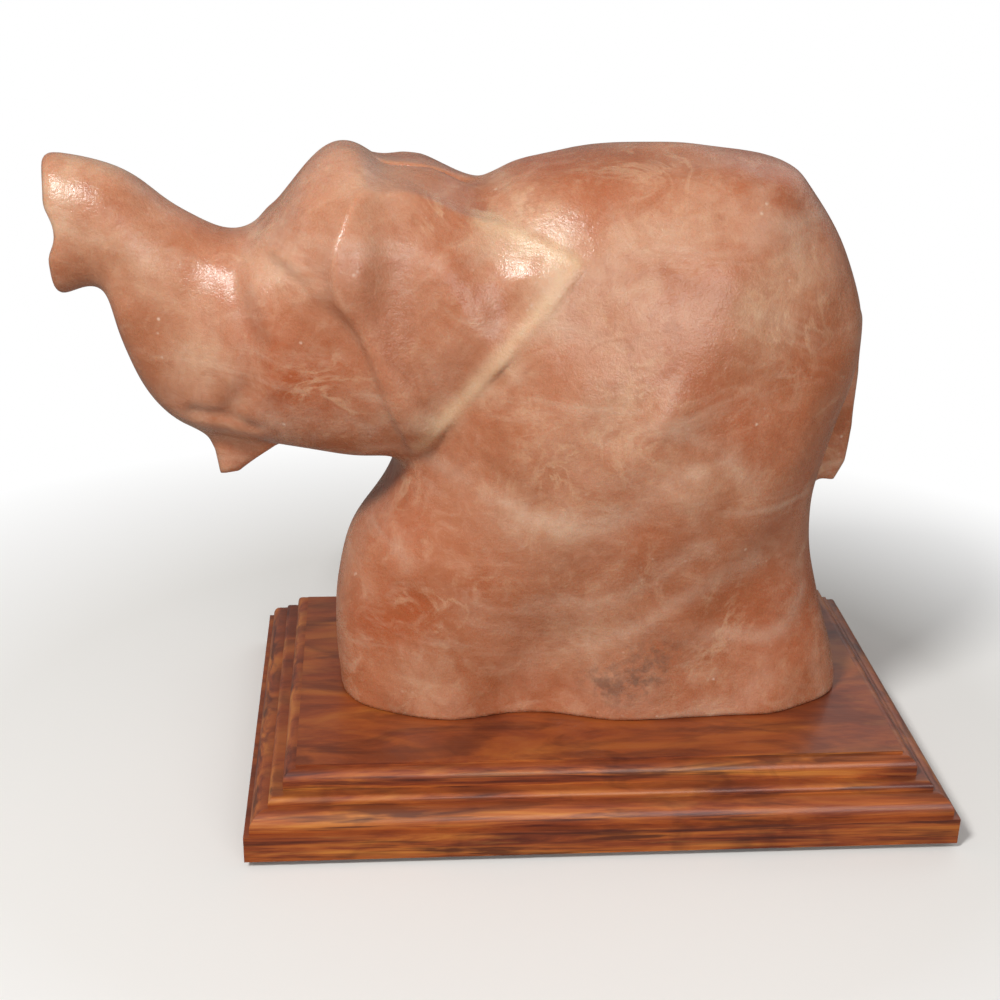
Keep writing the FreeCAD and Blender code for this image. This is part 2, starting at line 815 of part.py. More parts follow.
def make_cap():
    """The cup that closes the holder from below and takes the cable through its floor."""
    radius = "Dim.cap_radius"
    section = [
        ("Dim.cord_hole", "0"),
        (f"{radius} - Dim.cap_bevel", "0"),
        (radius, "Dim.cap_bevel"),
        (radius, CAP_TOP),
        (CAP_INNER, CAP_TOP),
        (CAP_INNER, "Dim.cap_floor"),
        ("Dim.cord_hole", "Dim.cap_floor"),
    ]
    bind(turned("holder_cap", section), z=ON_HOLDER)


def make_holder_body():
    """The porcelain body: a spigot in the cap, a flange, and a sleeve round the bulb's cap."""
    spigot = f"{CAP_INNER} - Dim.fit_gap"
    section = [
        ("0", SPIGOT_FOOT),
        (spigot, SPIGOT_FOOT),
        (spigot, FLANGE_FOOT),
        ("Dim.cap_radius", FLANGE_FOOT),
        ("Dim.cap_radius", FLANGE_TOP),
        ("Dim.sleeve_radius", FLANGE_TOP),
        ("Dim.sleeve_radius", SLEEVE_TOP),
        (CHAMBER, SLEEVE_TOP),
        (CHAMBER, CHAMBER_FLOOR),
        ("0", CHAMBER_FLOOR),
    ]
    body = turned("holder_body", section)
    passages = new_sketch(body, "stud_passage_outline", lift=CHAMBER_FLOOR)
    for side in (-1, 1):
        circle(passages, "Dim.stud_radius + Dim.seat_gap", f"{side} * ({TERMINAL_MIDDLE})")
    pocket(body, "stud_passages", passages, f"{CHAMBER_FLOOR} - ({SPIGOT_FOOT})")
    bind(body, z=ON_HOLDER)


def make_screw_shell():
    """The threaded contact sleeve that the bulb turns into."""
    foot = f"{CHAMBER_FLOOR} + Dim.shell_lift"
    top = f"{foot} + Dim.shell_length"
    section = [(SHELL_BORE, foot), (SHELL_OUTER, foot), (SHELL_OUTER, top), (SHELL_BORE, top)]
    bind(turned("holder_screw_shell", section), z=ON_HOLDER)


def strip(label, outline_points, width):
    """A bent metal strip: its outline seen from the side, given this width across Y."""
    body = new_body(label)
    section = new_sketch(body, f"{label}_section", "XZ_Plane")
    outline(section, outline_points)
    pad(body, f"{label}_width", section, width)
    body.Tip.Midplane = True
    return body


def make_contacts():
    """The sprung centre contact and the foot of the shell's contact, each on its stud."""
    floor, thick = CHAMBER_FLOOR, "Dim.contact_thickness"
    stud, reach = TERMINAL_MIDDLE, "Dim.stud_radius"
    crown = f"{floor} + Dim.shell_lift - Dim.contact_gap"
    bind(
        strip(
            "centre_contact",
            [
                (f"-({CHAMBER} - Dim.slide_gap - Dim.contact_thickness)", floor),
                (f"-({stud} - {reach})", floor),
                (f"-{reach}", f"{crown} - {thick}"),
                (reach, f"{crown} - {thick}"),
                (reach, crown),
                (f"-{reach}", crown),
                (f"-({stud} - {reach})", f"{floor} + {thick}"),
                (f"-({CHAMBER} - Dim.slide_gap - Dim.contact_thickness)", f"{floor} + {thick}"),
            ],
            "Dim.contact_width",
        ),
        z=ON_HOLDER,
    )
    rise = f"{floor} + Dim.shell_lift"
    bind(
        strip(
            "shell_contact",
            [
                (f"{stud} - {reach}", floor),
                (SHELL_OUTER, floor),
                (SHELL_OUTER, rise),
                (SHELL_BORE, rise),
                (SHELL_BORE, f"{floor} + {thick}"),
                (f"{stud} - {reach}", f"{floor} + {thick}"),
            ],
            "Dim.contact_width / 2",
        ),
        z=ON_HOLDER,
    )


def make_terminals():
    """Two brass blocks under the porcelain, each with a stud up to its contact and a screw."""
    screws = []
    block_foot = f"{ON_HOLDER} + {SPIGOT_FOOT} - Dim.terminal_height"
    screw_height = f"{block_foot} + Dim.terminal_height / 2"
    outer_face = "Dim.terminal_offset + Dim.terminal_length"
    for side, label in ((-1, "terminal_live"), (1, "terminal_neutral")):
        middle = f"{side} * ({TERMINAL_MIDDLE})"
        block = box(
            f"{label}_block",
            "Dim.terminal_length",
            "Dim.terminal_width",
            "Dim.terminal_height",
            x=f"{middle} - Dim.terminal_length / 2",
            y="-Dim.terminal_width / 2",
            z=block_foot,
        )
        stud = cylinder(
            f"{label}_stud",
            "Dim.stud_radius",
            f"{CHAMBER_FLOOR} - ({SPIGOT_FOOT})",
            x=middle,
            z=f"{ON_HOLDER} + {SPIGOT_FOOT}",
        )
        hole = cylinder(
            f"{label}_screw_hole",
            "Dim.terminal_screw_radius + Dim.seat_gap",
            "Dim.terminal_screw_length",
            x=f"{side} * ({outer_face})",
            z=screw_height,
        )
        hole.Placement.Rotation = Rotation(Vector(0, 1, 0), -90 * side)
        node(cut(label, fused(f"{label}_piece", [block, stud]), hole), label)
        head = cylinder(
            f"{label}_screw_head",
            "Dim.terminal_screw_head",
            "Dim.terminal_screw_rise",
            x=f"{side} * ({outer_face})",
            z=screw_height,
        )
        head.Placement.Rotation = Rotation(Vector(0, 1, 0), 90 * side)
        shank = cylinder(
            f"{label}_screw_shank",
            "Dim.terminal_screw_radius",
            "Dim.terminal_screw_length - Dim.seat_gap",
            x=f"{side} * ({outer_face})",
            z=screw_height,
        )
        shank.Placement.Rotation = Rotation(Vector(0, 1, 0), -90 * side)
        screws.append(fused(f"{label}_screw", [head, shank]))
    compound("terminal_screws", screws)


def make_bracket():
    """A steel washer gripped under the flange, with an ear turned up at each side for a clip."""
    foot = f"{ON_HOLDER} + {CAP_TOP}"
    ring = cylinder("bracket_ring", "Dim.cap_radius", "Dim.bracket_thickness", z=foot)
    bar = box(
        "bracket_bar",
        f"2 * ({EAR_OUTER})",
        "Dim.clip_width",
        "Dim.bracket_thickness",
        x=f"-({EAR_OUTER})",
        y="-Dim.clip_width / 2",
        z=foot,
    )
    pieces = [ring, bar]
    for side, left in ((-1, f"-({EAR_OUTER})"), (1, EAR_INNER)):
        pieces.append(
            box(
                f"bracket_ear_{'left' if side < 0 else 'right'}",
                "Dim.bracket_thickness",
                "Dim.clip_width",
                f"{EAR_TOP} - ({CAP_TOP})",
                x=left,
                y="-Dim.clip_width / 2",
                z=foot,
            )
        )
    hole = cylinder("bracket_hole", f"{CAP_INNER}", "Dim.bracket_thickness", z=foot)
    node(cut("clip_bracket", fused("bracket_blank", pieces), hole), "clip_bracket")


def make_clip(side, label):
    """A sprung strip hooked over the bracket's ear, bowed out to press on the ferrule."""
    thick = "Dim.clip_thickness"
    inner = f"{EAR_INNER} - Dim.slide_gap"
    outer = f"{EAR_OUTER} + Dim.slide_gap"
    crown = f"{EAR_TOP} + Dim.slide_gap"
    press = "Dim.ferrule_bore - Dim.slide_gap"
    bulge = f"sqrt(({press}) * ({press}) - Dim.clip_width * Dim.clip_width / 4)"
    hook_foot = f"{EAR_TOP} - Dim.clip_hook_drop"
    bulge_height = f"{EAR_TOP} - Dim.clip_bulge_drop"
    tab_height = f"{EAR_TOP} - Dim.clip_length"
    tab = f"{bulge} - Dim.clip_tab_turn"
    points = [
        (f"{inner} - {thick}", hook_foot),
        (inner, hook_foot),
        (inner, crown),
        (outer, crown),
        (f"{bulge} - {thick}", bulge_height),
        (f"{tab} - {thick}", tab_height),
        (tab, tab_height),
        (bulge, bulge_height),
        (f"{outer} + {thick}", f"{crown} + {thick}"),
        (f"{inner} - {thick}", f"{crown} + {thick}"),
    ]
    if side < 0:
        points = [(f"-({across})", up) for across, up in points]
    bind(strip(label, points, "Dim.clip_width"), z=ON_HOLDER)


# ------------------------------------------------------------------ bulb

BULB_FOOT = f"{ON_HOLDER} + {CHAMBER_FLOOR} + Dim.shell_lift"
CAP_FOOT = "Dim.tip_height + Dim.insulator_height"
BRASS_TOP = f"{CAP_FOOT} + Dim.bulb_cap_length"
NECK_FOOT = f"{CAP_FOOT} + Dim.bulb_cap_length / 4"
DOME_MIDDLE = "Dim.bulb_length - Dim.bulb_radius"
STEM_TOP = f"{BRASS_TOP} + Dim.stem_length / 2"


def glass_section(radius, neck_radius, foot, top_first):
    """Half the envelope's outline: a straight neck, a cone, then a dome drawn in short steps."""
    corners = [(neck_radius, foot), (neck_radius, BRASS_TOP)]
    for index in range(DOME_STEPS):
        angle = -30 + index * 120 / DOME_STEPS
        corners.append((f"({radius}) * cos({angle} deg)", f"{DOME_MIDDLE} + ({radius}) * sin({angle} deg)"))
    corners.append(("0", f"{DOME_MIDDLE} + {radius}"))
    return corners[::-1] if top_first else corners


def make_bulb():
    wall = "Dim.glass_wall"
    outside = glass_section("Dim.bulb_radius", "Dim.glass_neck", NECK_FOOT, False)
    inside = glass_section(f"(Dim.bulb_radius - {wall})", f"Dim.glass_neck - {wall}", NECK_FOOT, True)
    bind(turned("bulb_glass", outside + inside), z=BULB_FOOT)

    brass, brass_wall = "Dim.bulb_cap_radius", "Dim.bulb_cap_wall"
    cap = [
        (f"{brass} - {brass_wall}", CAP_FOOT),
        (brass, CAP_FOOT),
        (brass, BRASS_TOP),
        (f"{brass} - {brass_wall}", BRASS_TOP),
    ]
    bind(turned("bulb_cap", cap), z=BULB_FOOT)

    # The glass button fills the cap's mouth and carries the solder tip.
    button = f"{brass} - {brass_wall} - Dim.seat_gap"
    insulator = [
        ("0", "Dim.tip_height"),
        ("Dim.tip_radius", "Dim.tip_height"),
        (button, CAP_FOOT),
        (button, NECK_FOOT),
        ("0", NECK_FOOT),
    ]
    bind(turned("bulb_insulator", insulator), z=BULB_FOOT)
    tip = [
        ("0", "0"),
        ("Dim.tip_radius / 2", "0"),
        ("Dim.tip_radius", "Dim.tip_height / 2"),
        ("Dim.tip_radius", "Dim.tip_height"),
        ("0", "Dim.tip_height"),
    ]
    bind(turned("bulb_contact", tip), z=BULB_FOOT)

    # The glass stem stands on the button and holds the wires.
    flare = f"Dim.glass_neck - {wall} - Dim.fit_gap"
    stem = [
        ("0", NECK_FOOT),
        (flare, NECK_FOOT),
        (flare, f"{NECK_FOOT} + {wall}"),
        ("Dim.stem_radius", BRASS_TOP),
        ("Dim.stem_radius", STEM_TOP),
        ("0", STEM_TOP),
    ]
    bind(turned("bulb_stem", stem), z=BULB_FOOT)
    make_filament()


def make_filament():
    """Two wires that lean out from the stem, and the filament between them."""
    wires = []
    for side in (-1, 1):
        foot = Vector(side * size("stem_radius") / 2, 0, stem_top)
        head = Vector(side * size("wire_spread"), 0, stem_top + size("wire_length"))
        run = head - foot
        wire = Part.makeCylinder(size("wire_radius"), run.Length, foot, run)
        level = Part.makeBox(20, 20, 20, Vector(-10, -10, stem_top))
        wires.append(drawn(f"lead_wire_{'left' if side < 0 else 'right'}", wire.common(level)))
    compound("bulb_lead_wires", wires)
    filament = cylinder(
        "bulb_filament",
        "Dim.filament_radius",
        "2 * (Dim.wire_spread - 2 * Dim.wire_radius - Dim.seat_gap)",
        x="-(Dim.wire_spread - 2 * Dim.wire_radius - Dim.seat_gap)",
        z=f"{BULB_FOOT} + {STEM_TOP} + Dim.wire_length - Dim.filament_radius",
    )
    filament.Placement.Rotation = Rotation(Vector(0, 1, 0), 90)
    node(filament, "bulb_filament")


# ------------------------------------------------------------------ build, check and write

salt_floor = size("foot_height") + size("base_thickness")
neck = size("salt_shift") - size("neck_setback")
trunk_root = neck - size("head_length")
stem_top = (
    size("holder_recess")
    + size("cap_height")
    + size("bracket_thickness")
    + size("body_flange")
    + size("sleeve_height")
    - size("chamber_depth")
    + size("shell_lift")
    + size("tip_height")
    + size("insulator_height")
    + size("bulb_cap_length")
    + size("stem_length") / 2
)

make_base()
make_feet()
make_ferrule()
make_flange_screws()
make_salt_fixings()
make_salt()
make_cap()
make_holder_body()
make_screw_shell()
make_contacts()
make_terminals()
make_bracket()
make_clip(-1, "spring_clip_left")
make_clip(1, "spring_clip_right")
make_bulb()

# The pieces are drawn round the bulb's own axis. The origin is on the table under the middle of
# the lamp's whole length, from the trunk's tip to the end of the base, so all are set along by it.
set_along = f"-({TRUNK_TIP} + Dim.base_length / 2) / 2"
for made in nodes.values():
    placed = [formula for path, formula in made.ExpressionEngine if path.endswith("Placement.Base.x")]
    bind(made, x=" + ".join([f"({formula})" for formula in [*placed, set_along]]))
doc.recompute()

for made in doc.Objects:
    if "Invalid" in made.State or "Error" in made.State:
        raise RuntimeError(f"{made.Name} did not rebuild: {made.State}")
for label, made in nodes.items():
    shape = made.Shape
    if shape.isNull() or not shape.isValid() or not shape.Solids:
        raise RuntimeError(f"{label} is not a valid solid")

os.makedirs("parts", exist_ok=True)
for label, made in nodes.items():
    made.Shape.exportStep(f"parts/{label}.step")
    bounds = made.Shape.BoundBox
    print(
        f"{label}: {len(made.Shape.Solids)} solid, {made.Shape.Volume:.1f} mm3,"
        f" z {bounds.ZMin:.2f} to {bounds.ZMax:.2f}"
    )
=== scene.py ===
import math

import bpy
import numpy as np
from mathutils import Matrix, Vector


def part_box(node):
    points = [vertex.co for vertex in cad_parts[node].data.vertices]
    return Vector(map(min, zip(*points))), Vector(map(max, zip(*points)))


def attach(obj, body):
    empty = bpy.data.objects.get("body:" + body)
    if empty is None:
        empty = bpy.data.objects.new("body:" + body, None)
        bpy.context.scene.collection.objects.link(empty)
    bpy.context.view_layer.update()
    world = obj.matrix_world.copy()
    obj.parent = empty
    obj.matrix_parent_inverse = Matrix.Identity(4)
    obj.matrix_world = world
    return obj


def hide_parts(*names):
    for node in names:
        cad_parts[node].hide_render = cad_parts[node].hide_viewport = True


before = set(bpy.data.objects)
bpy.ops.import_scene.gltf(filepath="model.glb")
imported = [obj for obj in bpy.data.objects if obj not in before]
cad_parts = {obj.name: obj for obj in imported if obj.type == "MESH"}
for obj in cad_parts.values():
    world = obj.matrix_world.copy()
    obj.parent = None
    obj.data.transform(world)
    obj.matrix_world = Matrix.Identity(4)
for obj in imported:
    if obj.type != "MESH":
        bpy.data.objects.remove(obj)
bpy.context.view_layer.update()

# A carved salt lamp on a routed rosewood base. The shapes here are worked out in millimetres: X
# along the elephant from the bulb's own axis, Y across it, Z up from the table. Meshes are written
# in metres in the lamp's frame, whose X starts under the middle of the whole lamp.

MM = 0.001
# Where the bulb's axis stands along the lamp's frame.
BULB_AXIS = sum(corner.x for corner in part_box("bulb_cap")) / 2 / MM

# ------------------------------------------------------------------ driving sizes of the salt

SALT_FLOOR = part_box("salt_elephant")[0].z / MM
SALT_HEIGHT = 162
SALT_LENGTH = 154
SALT_WIDTH = 85
SALT_SHIFT = 2
HEAD_LENGTH = 87
HEAD_WIDTH = 68
NECK_X = SALT_SHIFT - 24
TRUNK_ROOT_X = NECK_X - HEAD_LENGTH
TRUNK_LENGTH = 41
TRUNK_WIDTH = 29
EAR_LENGTH = 63
EAR_HEIGHT = 68
EAR_SPREAD = 42
EAR_DEPTH = 15
BORE_RADIUS = 20
BORE_DEPTH = 75
BORE_TIP = 10
BORE_TIP_RADIUS = 9
LIP_HALF_WIDTH = 7.5
TAIL_HALF_WIDTH = 4
TRUNK_MOUTH_RADIUS = 8

# The torso from the feet up: height, front, back and half width as shares of the salt's height,
# length and width, then how square its corners are (0.55 is an ellipse).
TORSO = [
    (0.000, -0.497, 0.497, 0.365, 0.80),
    (0.080, -0.499, 0.474, 0.380, 0.78),
    (0.180, -0.490, 0.430, 0.394, 0.74),
    (0.290, -0.467, 0.410, 0.428, 0.70),
    (0.410, -0.392, 0.413, 0.474, 0.67),
    (0.560, -0.375, 0.440, 0.500, 0.66),
    (0.700, -0.360, 0.457, 0.485, 0.65),
    (0.830, -0.325, 0.430, 0.425, 0.64),
    (0.920, -0.235, 0.366, 0.338, 0.63),
    (0.960, -0.140, 0.314, 0.258, 0.62),
    (0.985, -0.040, 0.245, 0.170, 0.61),
    (1.000, 0.080, 0.130, 0.030, 0.60),
]

# Head sections: where each one's top and foot lie along the head's length and up the salt's
# height, then its half width as a share of the head's. The trunk's follow in the same way.
HEAD = [
    (0.00, 0.915, 0.00, 0.550, 0.340),
    (0.30, 0.925, 0.30, 0.462, 0.480),
    (0.46, 0.940, 0.45, 0.462, 0.487),
    (0.55, 0.990, 0.54, 0.462, 0.490),
    (0.65, 0.978, 0.64, 0.468, 0.470),
    (0.78, 0.895, 0.76, 0.478, 0.420),
    (0.92, 0.850, 0.94, 0.494, 0.330),
]
TRUNK = [
    (0.10, 0.874, 0.25, 0.528, 0.600),
    (0.40, 0.930, 0.56, 0.662, 0.500),
    (0.64, 0.960, 0.66, 0.752, 0.450),
    (1.00, 0.972, 0.95, 0.742, 0.400),
]
HEAD_SQUARENESS = 0.64

# Points of the ear's face: shares of its length backwards and its height upwards, and how far out
# from the middle plane it stands, as a share of the spread.
EAR = [
    (0.11, 0.96, 0.62),
    (0.26, 0.96, 0.58),
    (0.45, 0.93, 0.58),
    (0.60, 0.90, 0.62),
    (0.77, 0.86, 0.73),
    (0.93, 0.80, 0.84),
    (1.00, 0.75, 0.89),
    (0.89, 0.63, 0.93),
    (0.77, 0.50, 0.94),
    (0.65, 0.36, 0.92),
    (0.51, 0.17, 0.86),
    (0.38, -0.02, 0.76),
    (0.30, -0.08, 0.70),
    (0.18, 0.20, 0.80),
    (0.09, 0.43, 0.85),
    (0.02, 0.62, 0.83),
    (0.04, 0.81, 0.76),
]
EAR_FRONT = NECK_X - HEAD_LENGTH * 0.57
EAR_LOW = SALT_FLOOR + SALT_HEIGHT * 0.53

# Outlines of the lower lip and the tail: shares of the trunk's or the salt's length, and of its height.
LIP = [(-0.55, 0.50), (0.02, 0.52), (-0.04, 0.47), (-0.06, 0.425), (-0.17, 0.425), (-0.41, 0.47)]
TAIL = [
    (0.40, 0.74),
    (0.452, 0.70),
    (0.468, 0.60),
    (0.473, 0.50),
    (0.468, 0.43),
    (0.453, 0.395),
    (0.38, 0.41),
]

# Lines of the carving on the flank, as (x, z): folds and hollows of the ear, then of the face.
FOLD_FRONT = [(-66, 168), (-67, 150), (-60, 132), (-51, 114)]
FOLD_MIDDLE = [(-44, 158), (-37, 145), (-31, 135)]
DIP = [(-56, 158), (-51, 142), (-45, 124)]
DIP_REAR = [(-34, 160), (-28, 150)]
TRUNK_CREASE = [(-99, 164), (-98, 150), (-94, 138), (-95, 128), (-101, 118)]
CHEEK = [(-99, 158), (-93, 148), (-89, 138), (-90, 128)]
BROW = [(-91, 163), (-85, 160), (-79, 154)]
EYE = [(-90, 159), (-86, 157.5), (-81, 155)]
MOUTH = [(-112, 115), (-104, 115), (-96, 112)]

# ------------------------------------------------------------------ curves and distances


def natural_spline(knots, values, at):
    """Values on a natural cubic spline through the rows given at the knots."""
    knots, values = np.asarray(knots, float), np.asarray(values, float)
    count = len(knots)
    span = np.diff(knots)
    slope = np.diff(values, axis=0) / span[:, None]
    system = np.eye(count)
    known = np.zeros_like(values)
    for i in range(1, count - 1):
        system[i, i - 1 : i + 2] = span[i - 1], 2 * (span[i - 1] + span[i]), span[i]
        known[i] = 6 * (slope[i] - slope[i - 1])
    bend = np.linalg.solve(system, known)
    i = np.clip(np.searchsorted(knots, at) - 1, 0, count - 2)
    a, b, h = (at - knots[i])[:, None], (knots[i + 1] - at)[:, None], span[i][:, None]
    return (
        (bend[i] * b**3 + bend[i + 1] * a**3) / (6 * h)
        + (values[i] / h - bend[i] * h / 6) * b
        + (values[i + 1] / h - bend[i + 1] * h / 6) * a
    )


def along(rows, count):
    """Evenly spaced rows on a smooth curve through the given ones."""
    rows = np.asarray(rows, float)
    reach = np.concatenate([[0], np.cumsum(np.linalg.norm(np.diff(rows, axis=0), axis=1))])
    return natural_spline(reach, rows, np.linspace(0, reach[-1], count))


def power(squareness):
    """The superellipse exponent with the same waist as a section of this squareness."""
    return math.log(2) / -np.log(0.5 + 0.375 * np.asarray(squareness))


def smooth_min(a, b, blend):
    """The union of two fields with a fillet about this wide."""
    mix = np.clip(0.5 + 0.5 * (b - a) / blend, 0, 1)
    return b * (1 - mix) + a * mix - blend * mix * (1 - mix)


def smooth_max(a, b, blend):
    """What two fields have in common, with an edge rounded about this much."""
    return -smooth_min(-a, -b, blend)


def ramp(value, low, high):
    """0 below low, 1 above high and smooth between."""
    t = np.clip((value - low) / (high - low), 0, 1)
    return t * t * (3 - 2 * t)


# ------------------------------------------------------------------ the grid that is sculpted

# Only the far half is carved, from the middle plane out; the near one is its mirror image.
VOXEL = 0.9
GRID_FRONT, GRID_BACK, GRID_OUT, GRID_ABOVE = -153, 84, 46, 5
grid_x = np.arange(GRID_FRONT, GRID_BACK, VOXEL, dtype=np.float32)
grid_y = np.arange(0, GRID_OUT, VOXEL, dtype=np.float32)
grid_z = np.arange(SALT_FLOOR - 3 * VOXEL, SALT_FLOOR + SALT_HEIGHT + GRID_ABOVE, VOXEL, dtype=np.float32)
FAR_AWAY = 1e6
side_x, side_z = np.meshgrid(grid_x, grid_z, indexing="ij")
X = grid_x[:, None, None]
Y = grid_y[None, :, None]
Z = grid_z[None, None, :]


def as_distance(field):
    """Scales a field so that it grows by about one for each millimetre near its surface."""
    dx, dy, dz = np.gradient(field, VOXEL)
    steep = np.sqrt(dx * dx + dy * dy + dz * dz)
    flattest = 0.004
    return field / np.maximum(steep, flattest)


def line_distance(points):
    """Distance from every (x, z) of the grid to a run of straight lines."""
    best = np.full(side_x.shape, FAR_AWAY, np.float32)
    for (ax, az), (bx, bz) in zip(points, points[1:]):
        dx, dz = bx - ax, bz - az
        t = ((side_x - ax) * dx + (side_z - az) * dz) / (dx * dx + dz * dz)
        t = np.clip(t, 0, 1)
        best = np.minimum(best, np.hypot(side_x - ax - t * dx, side_z - az - t * dz))
    return best


def outline_distance(points):
    """Signed distance from every (x, z) of the grid to a closed outline, negative inside."""
    closed = list(points) + [points[0]]
    inside = np.zeros(side_x.shape, bool)
    for (ax, az), (bx, bz) in zip(closed, closed[1:]):
        if az == bz:
            continue
        crosses = (az > side_z) != (bz > side_z)
        inside ^= crosses & (side_x < ax + (side_z - az) * (bx - ax) / (bz - az))
    distance = line_distance(closed)
    return np.where(inside, -distance, distance)


def stroke(points, width):
    """1 on a line drawn on the flank and fading to 0 about this far from it."""
    return np.exp(-((line_distance(points) / width) ** 2))[:, None, :]


# ------------------------------------------------------------------ lumps of the carving


def torso():
    """The body: level superellipses from the feet to the back."""
    rows = along(TORSO, 120)
    rise = np.clip((grid_z - SALT_FLOOR) / SALT_HEIGHT, 0, 1)
    front, back, half, square = (np.interp(rise, rows[:, 0], rows[:, i]) for i in (1, 2, 3, 4))
    p = power(square)
    middle = SALT_SHIFT + SALT_LENGTH * (front + back) / 2
    across = np.abs(X - middle) / (SALT_LENGTH * (back - front) / 2)
    out = Y / (SALT_WIDTH * half)
    field = (across**p + out**p) ** (1 / p) - 1
    top = Z - (SALT_FLOOR + SALT_HEIGHT)
    return smooth_max(as_distance(field.astype(np.float32)), top, 3)


def head_rows():
    """Top, foot and half width of the sections from the neck to the trunk's tip, in millimetres."""
    rows = []
    for table, start, length, width in (
        (HEAD, NECK_X, HEAD_LENGTH, HEAD_WIDTH),
        (TRUNK, TRUNK_ROOT_X, TRUNK_LENGTH, TRUNK_WIDTH),
    ):
        for top_along, top_up, foot_along, foot_up, half in table:
            top = (start - length * top_along, SALT_FLOOR + SALT_HEIGHT * top_up)
            foot = (start - length * foot_along, SALT_FLOOR + SALT_HEIGHT * foot_up)
            rows.append((*top, *foot, width * half))
    return along(rows, 160)


def head_and_trunk():
    """Sections that fan out from the neck to the trunk's tip; each point is given to its nearest."""
    rows = head_rows()
    place = np.zeros(side_x.shape, np.float32)
    best = np.full(side_x.shape, FAR_AWAY, np.float32)

    def crossing(row):
        top_x, top_z, foot_x, foot_z, _ = row
        return (top_x - foot_x) * (side_z - foot_z) - (top_z - foot_z) * (side_x - foot_x)

    def height_on(row):
        """How far up its section a point lies: -1 at the foot and 1 at the top."""
        top_x, top_z, foot_x, foot_z, _ = row
        run_x, run_z = top_x - foot_x, top_z - foot_z
        along_run = (side_x - foot_x) * run_x + (side_z - foot_z) * run_z
        return 2 * along_run / (run_x * run_x + run_z * run_z) - 1

    before = crossing(rows[0])
    starts_before = before < 0
    for index in range(len(rows) - 1):
        after = crossing(rows[index + 1])
        found = (before < 0) != (after < 0)
        share = before / np.where(found, before - after, 1)
        height = np.abs(height_on((rows[index] + rows[index + 1]) / 2))
        better = found & (height < best)
        place = np.where(better, index + share, place)
        best = np.where(better, height, best)
        before = after
    none = best > FAR_AWAY / 10
    place = np.where(none & starts_before, 0, place)
    place = np.where(none & ~starts_before, len(rows) - 1, place)
    low = np.clip(place.astype(int), 0, len(rows) - 2)
    part = (place - low)[..., None]
    here = rows[low] * (1 - part) + rows[low + 1] * part
    run_x, run_z = here[..., 0] - here[..., 2], here[..., 1] - here[..., 3]
    up = (side_x - here[..., 2]) * run_x + (side_z - here[..., 3]) * run_z
    up = np.abs(2 * up / (run_x**2 + run_z**2) - 1)[:, None, :]
    out = Y / here[..., 4][:, None, :]
    p = float(power(HEAD_SQUARENESS))
    field = as_distance(((up**p + out**p) ** (1 / p) - 1).astype(np.float32))
    for row, outward in ((rows[0], -1), (rows[-1], 1)):
        top_x, top_z, foot_x, foot_z, _ = row
        cap = outward * crossing(row) / math.hypot(top_x - foot_x, top_z - foot_z)
        field = smooth_max(field, cap[:, None, :].astype(np.float32), 3)
    return field


def skin_of(field):
    """How far out from the middle plane the carving's skin lies, smoothed, for every (x, z)."""
    inside = field < 0
    depth = len(grid_y) - 1 - np.argmax(inside[:, ::-1, :], axis=1)
    known = inside.any(axis=1).astype(np.float32)
    reach, sideways = 3, (0, 2)
    skin = sanded((depth * VOXEL * known)[:, None, :].astype(np.float32), reach, sideways)
    share = sanded(known[:, None, :], reach, sideways)
    return (skin / np.maximum(share, 0.05))[:, 0, :]


def ear(skin):
    """A flap that lies on the shoulder, with soft folds and hollows across it."""
    outline = [(EAR_FRONT + EAR_LENGTH * a, EAR_LOW + EAR_HEIGHT * u) for a, u, _ in EAR]
    edge = outline_distance(outline)
    # The face is the surface of third degree that fits the heights along the outline best.
    a, u, out = np.asarray(EAR).T

    def terms(a, u):
        first = [np.ones_like(a), a, u]
        second = [a * a, a * u, u * u]
        third = [a**3, a * a * u, a * u * u, u**3]
        return np.stack(first + second + third, -1)

    fit = np.linalg.lstsq(terms(a, u), out, rcond=None)[0]
    a, u = (side_x - EAR_FRONT) / EAR_LENGTH, (side_z - EAR_LOW) / EAR_HEIGHT
    face = EAR_SPREAD * (terms(np.clip(a, -0.05, 1.05), np.clip(u, -0.12, 1.05)) @ fit)
    # Towards its rear edge the flap thins out to little more than a line on the shoulder.
    rear_edge = outline[4:13]
    rear = np.exp(-((line_distance(rear_edge) / 11) ** 2))
    lip = 1.5
    face = face - rear * np.clip(face - skin - lip, 0, 6)
    folds = 1.3 * stroke(FOLD_FRONT, 4) + 1.0 * stroke(FOLD_MIDDLE, 5)
    hollows = 1.5 * stroke(DIP, 7) + 0.9 * stroke(DIP_REAR, 6)
    face = face[:, None, :] + (folds - hollows)
    slab = smooth_max(Y - face, face - EAR_DEPTH - Y, 2)
    return smooth_max(slab, edge[:, None, :], 1.6).astype(np.float32)


def plate(shape, half_width, root_x, root_z, length, height, blend):
    """A carved plate seen from the side, as wide as given at its middle and rounded at its rim."""
    edge = outline_distance([(root_x + length * a, root_z + height * u) for a, u in shape])[:, None, :]
    edge = edge - 0.35 * blend
    return smooth_max(Y - half_width, edge, blend).astype(np.float32)


def sanded(field, reach, axes=(0, 1, 2)):
    """The field with its sharp turns evened out over about this distance on either side."""
    furthest = int(2.5 * reach / VOXEL)
    taps = np.arange(-furthest, furthest + 1)
    share = np.exp(-0.5 * (taps * VOXEL / reach) ** 2)
    share /= share.sum()
    for axis in axes:
        margin = [(0, 0)] * 3
        margin[axis] = (len(taps) // 2,) * 2
        # The half block goes on beyond Y = 0 as its own mirror image.
        wide = np.pad(field, margin, mode="reflect" if axis == 1 else "edge")
        count = field.shape[axis]
        field = sum(w * wide.take(np.arange(i, i + count), axis) for i, w in enumerate(share))
    return field.astype(np.float32)


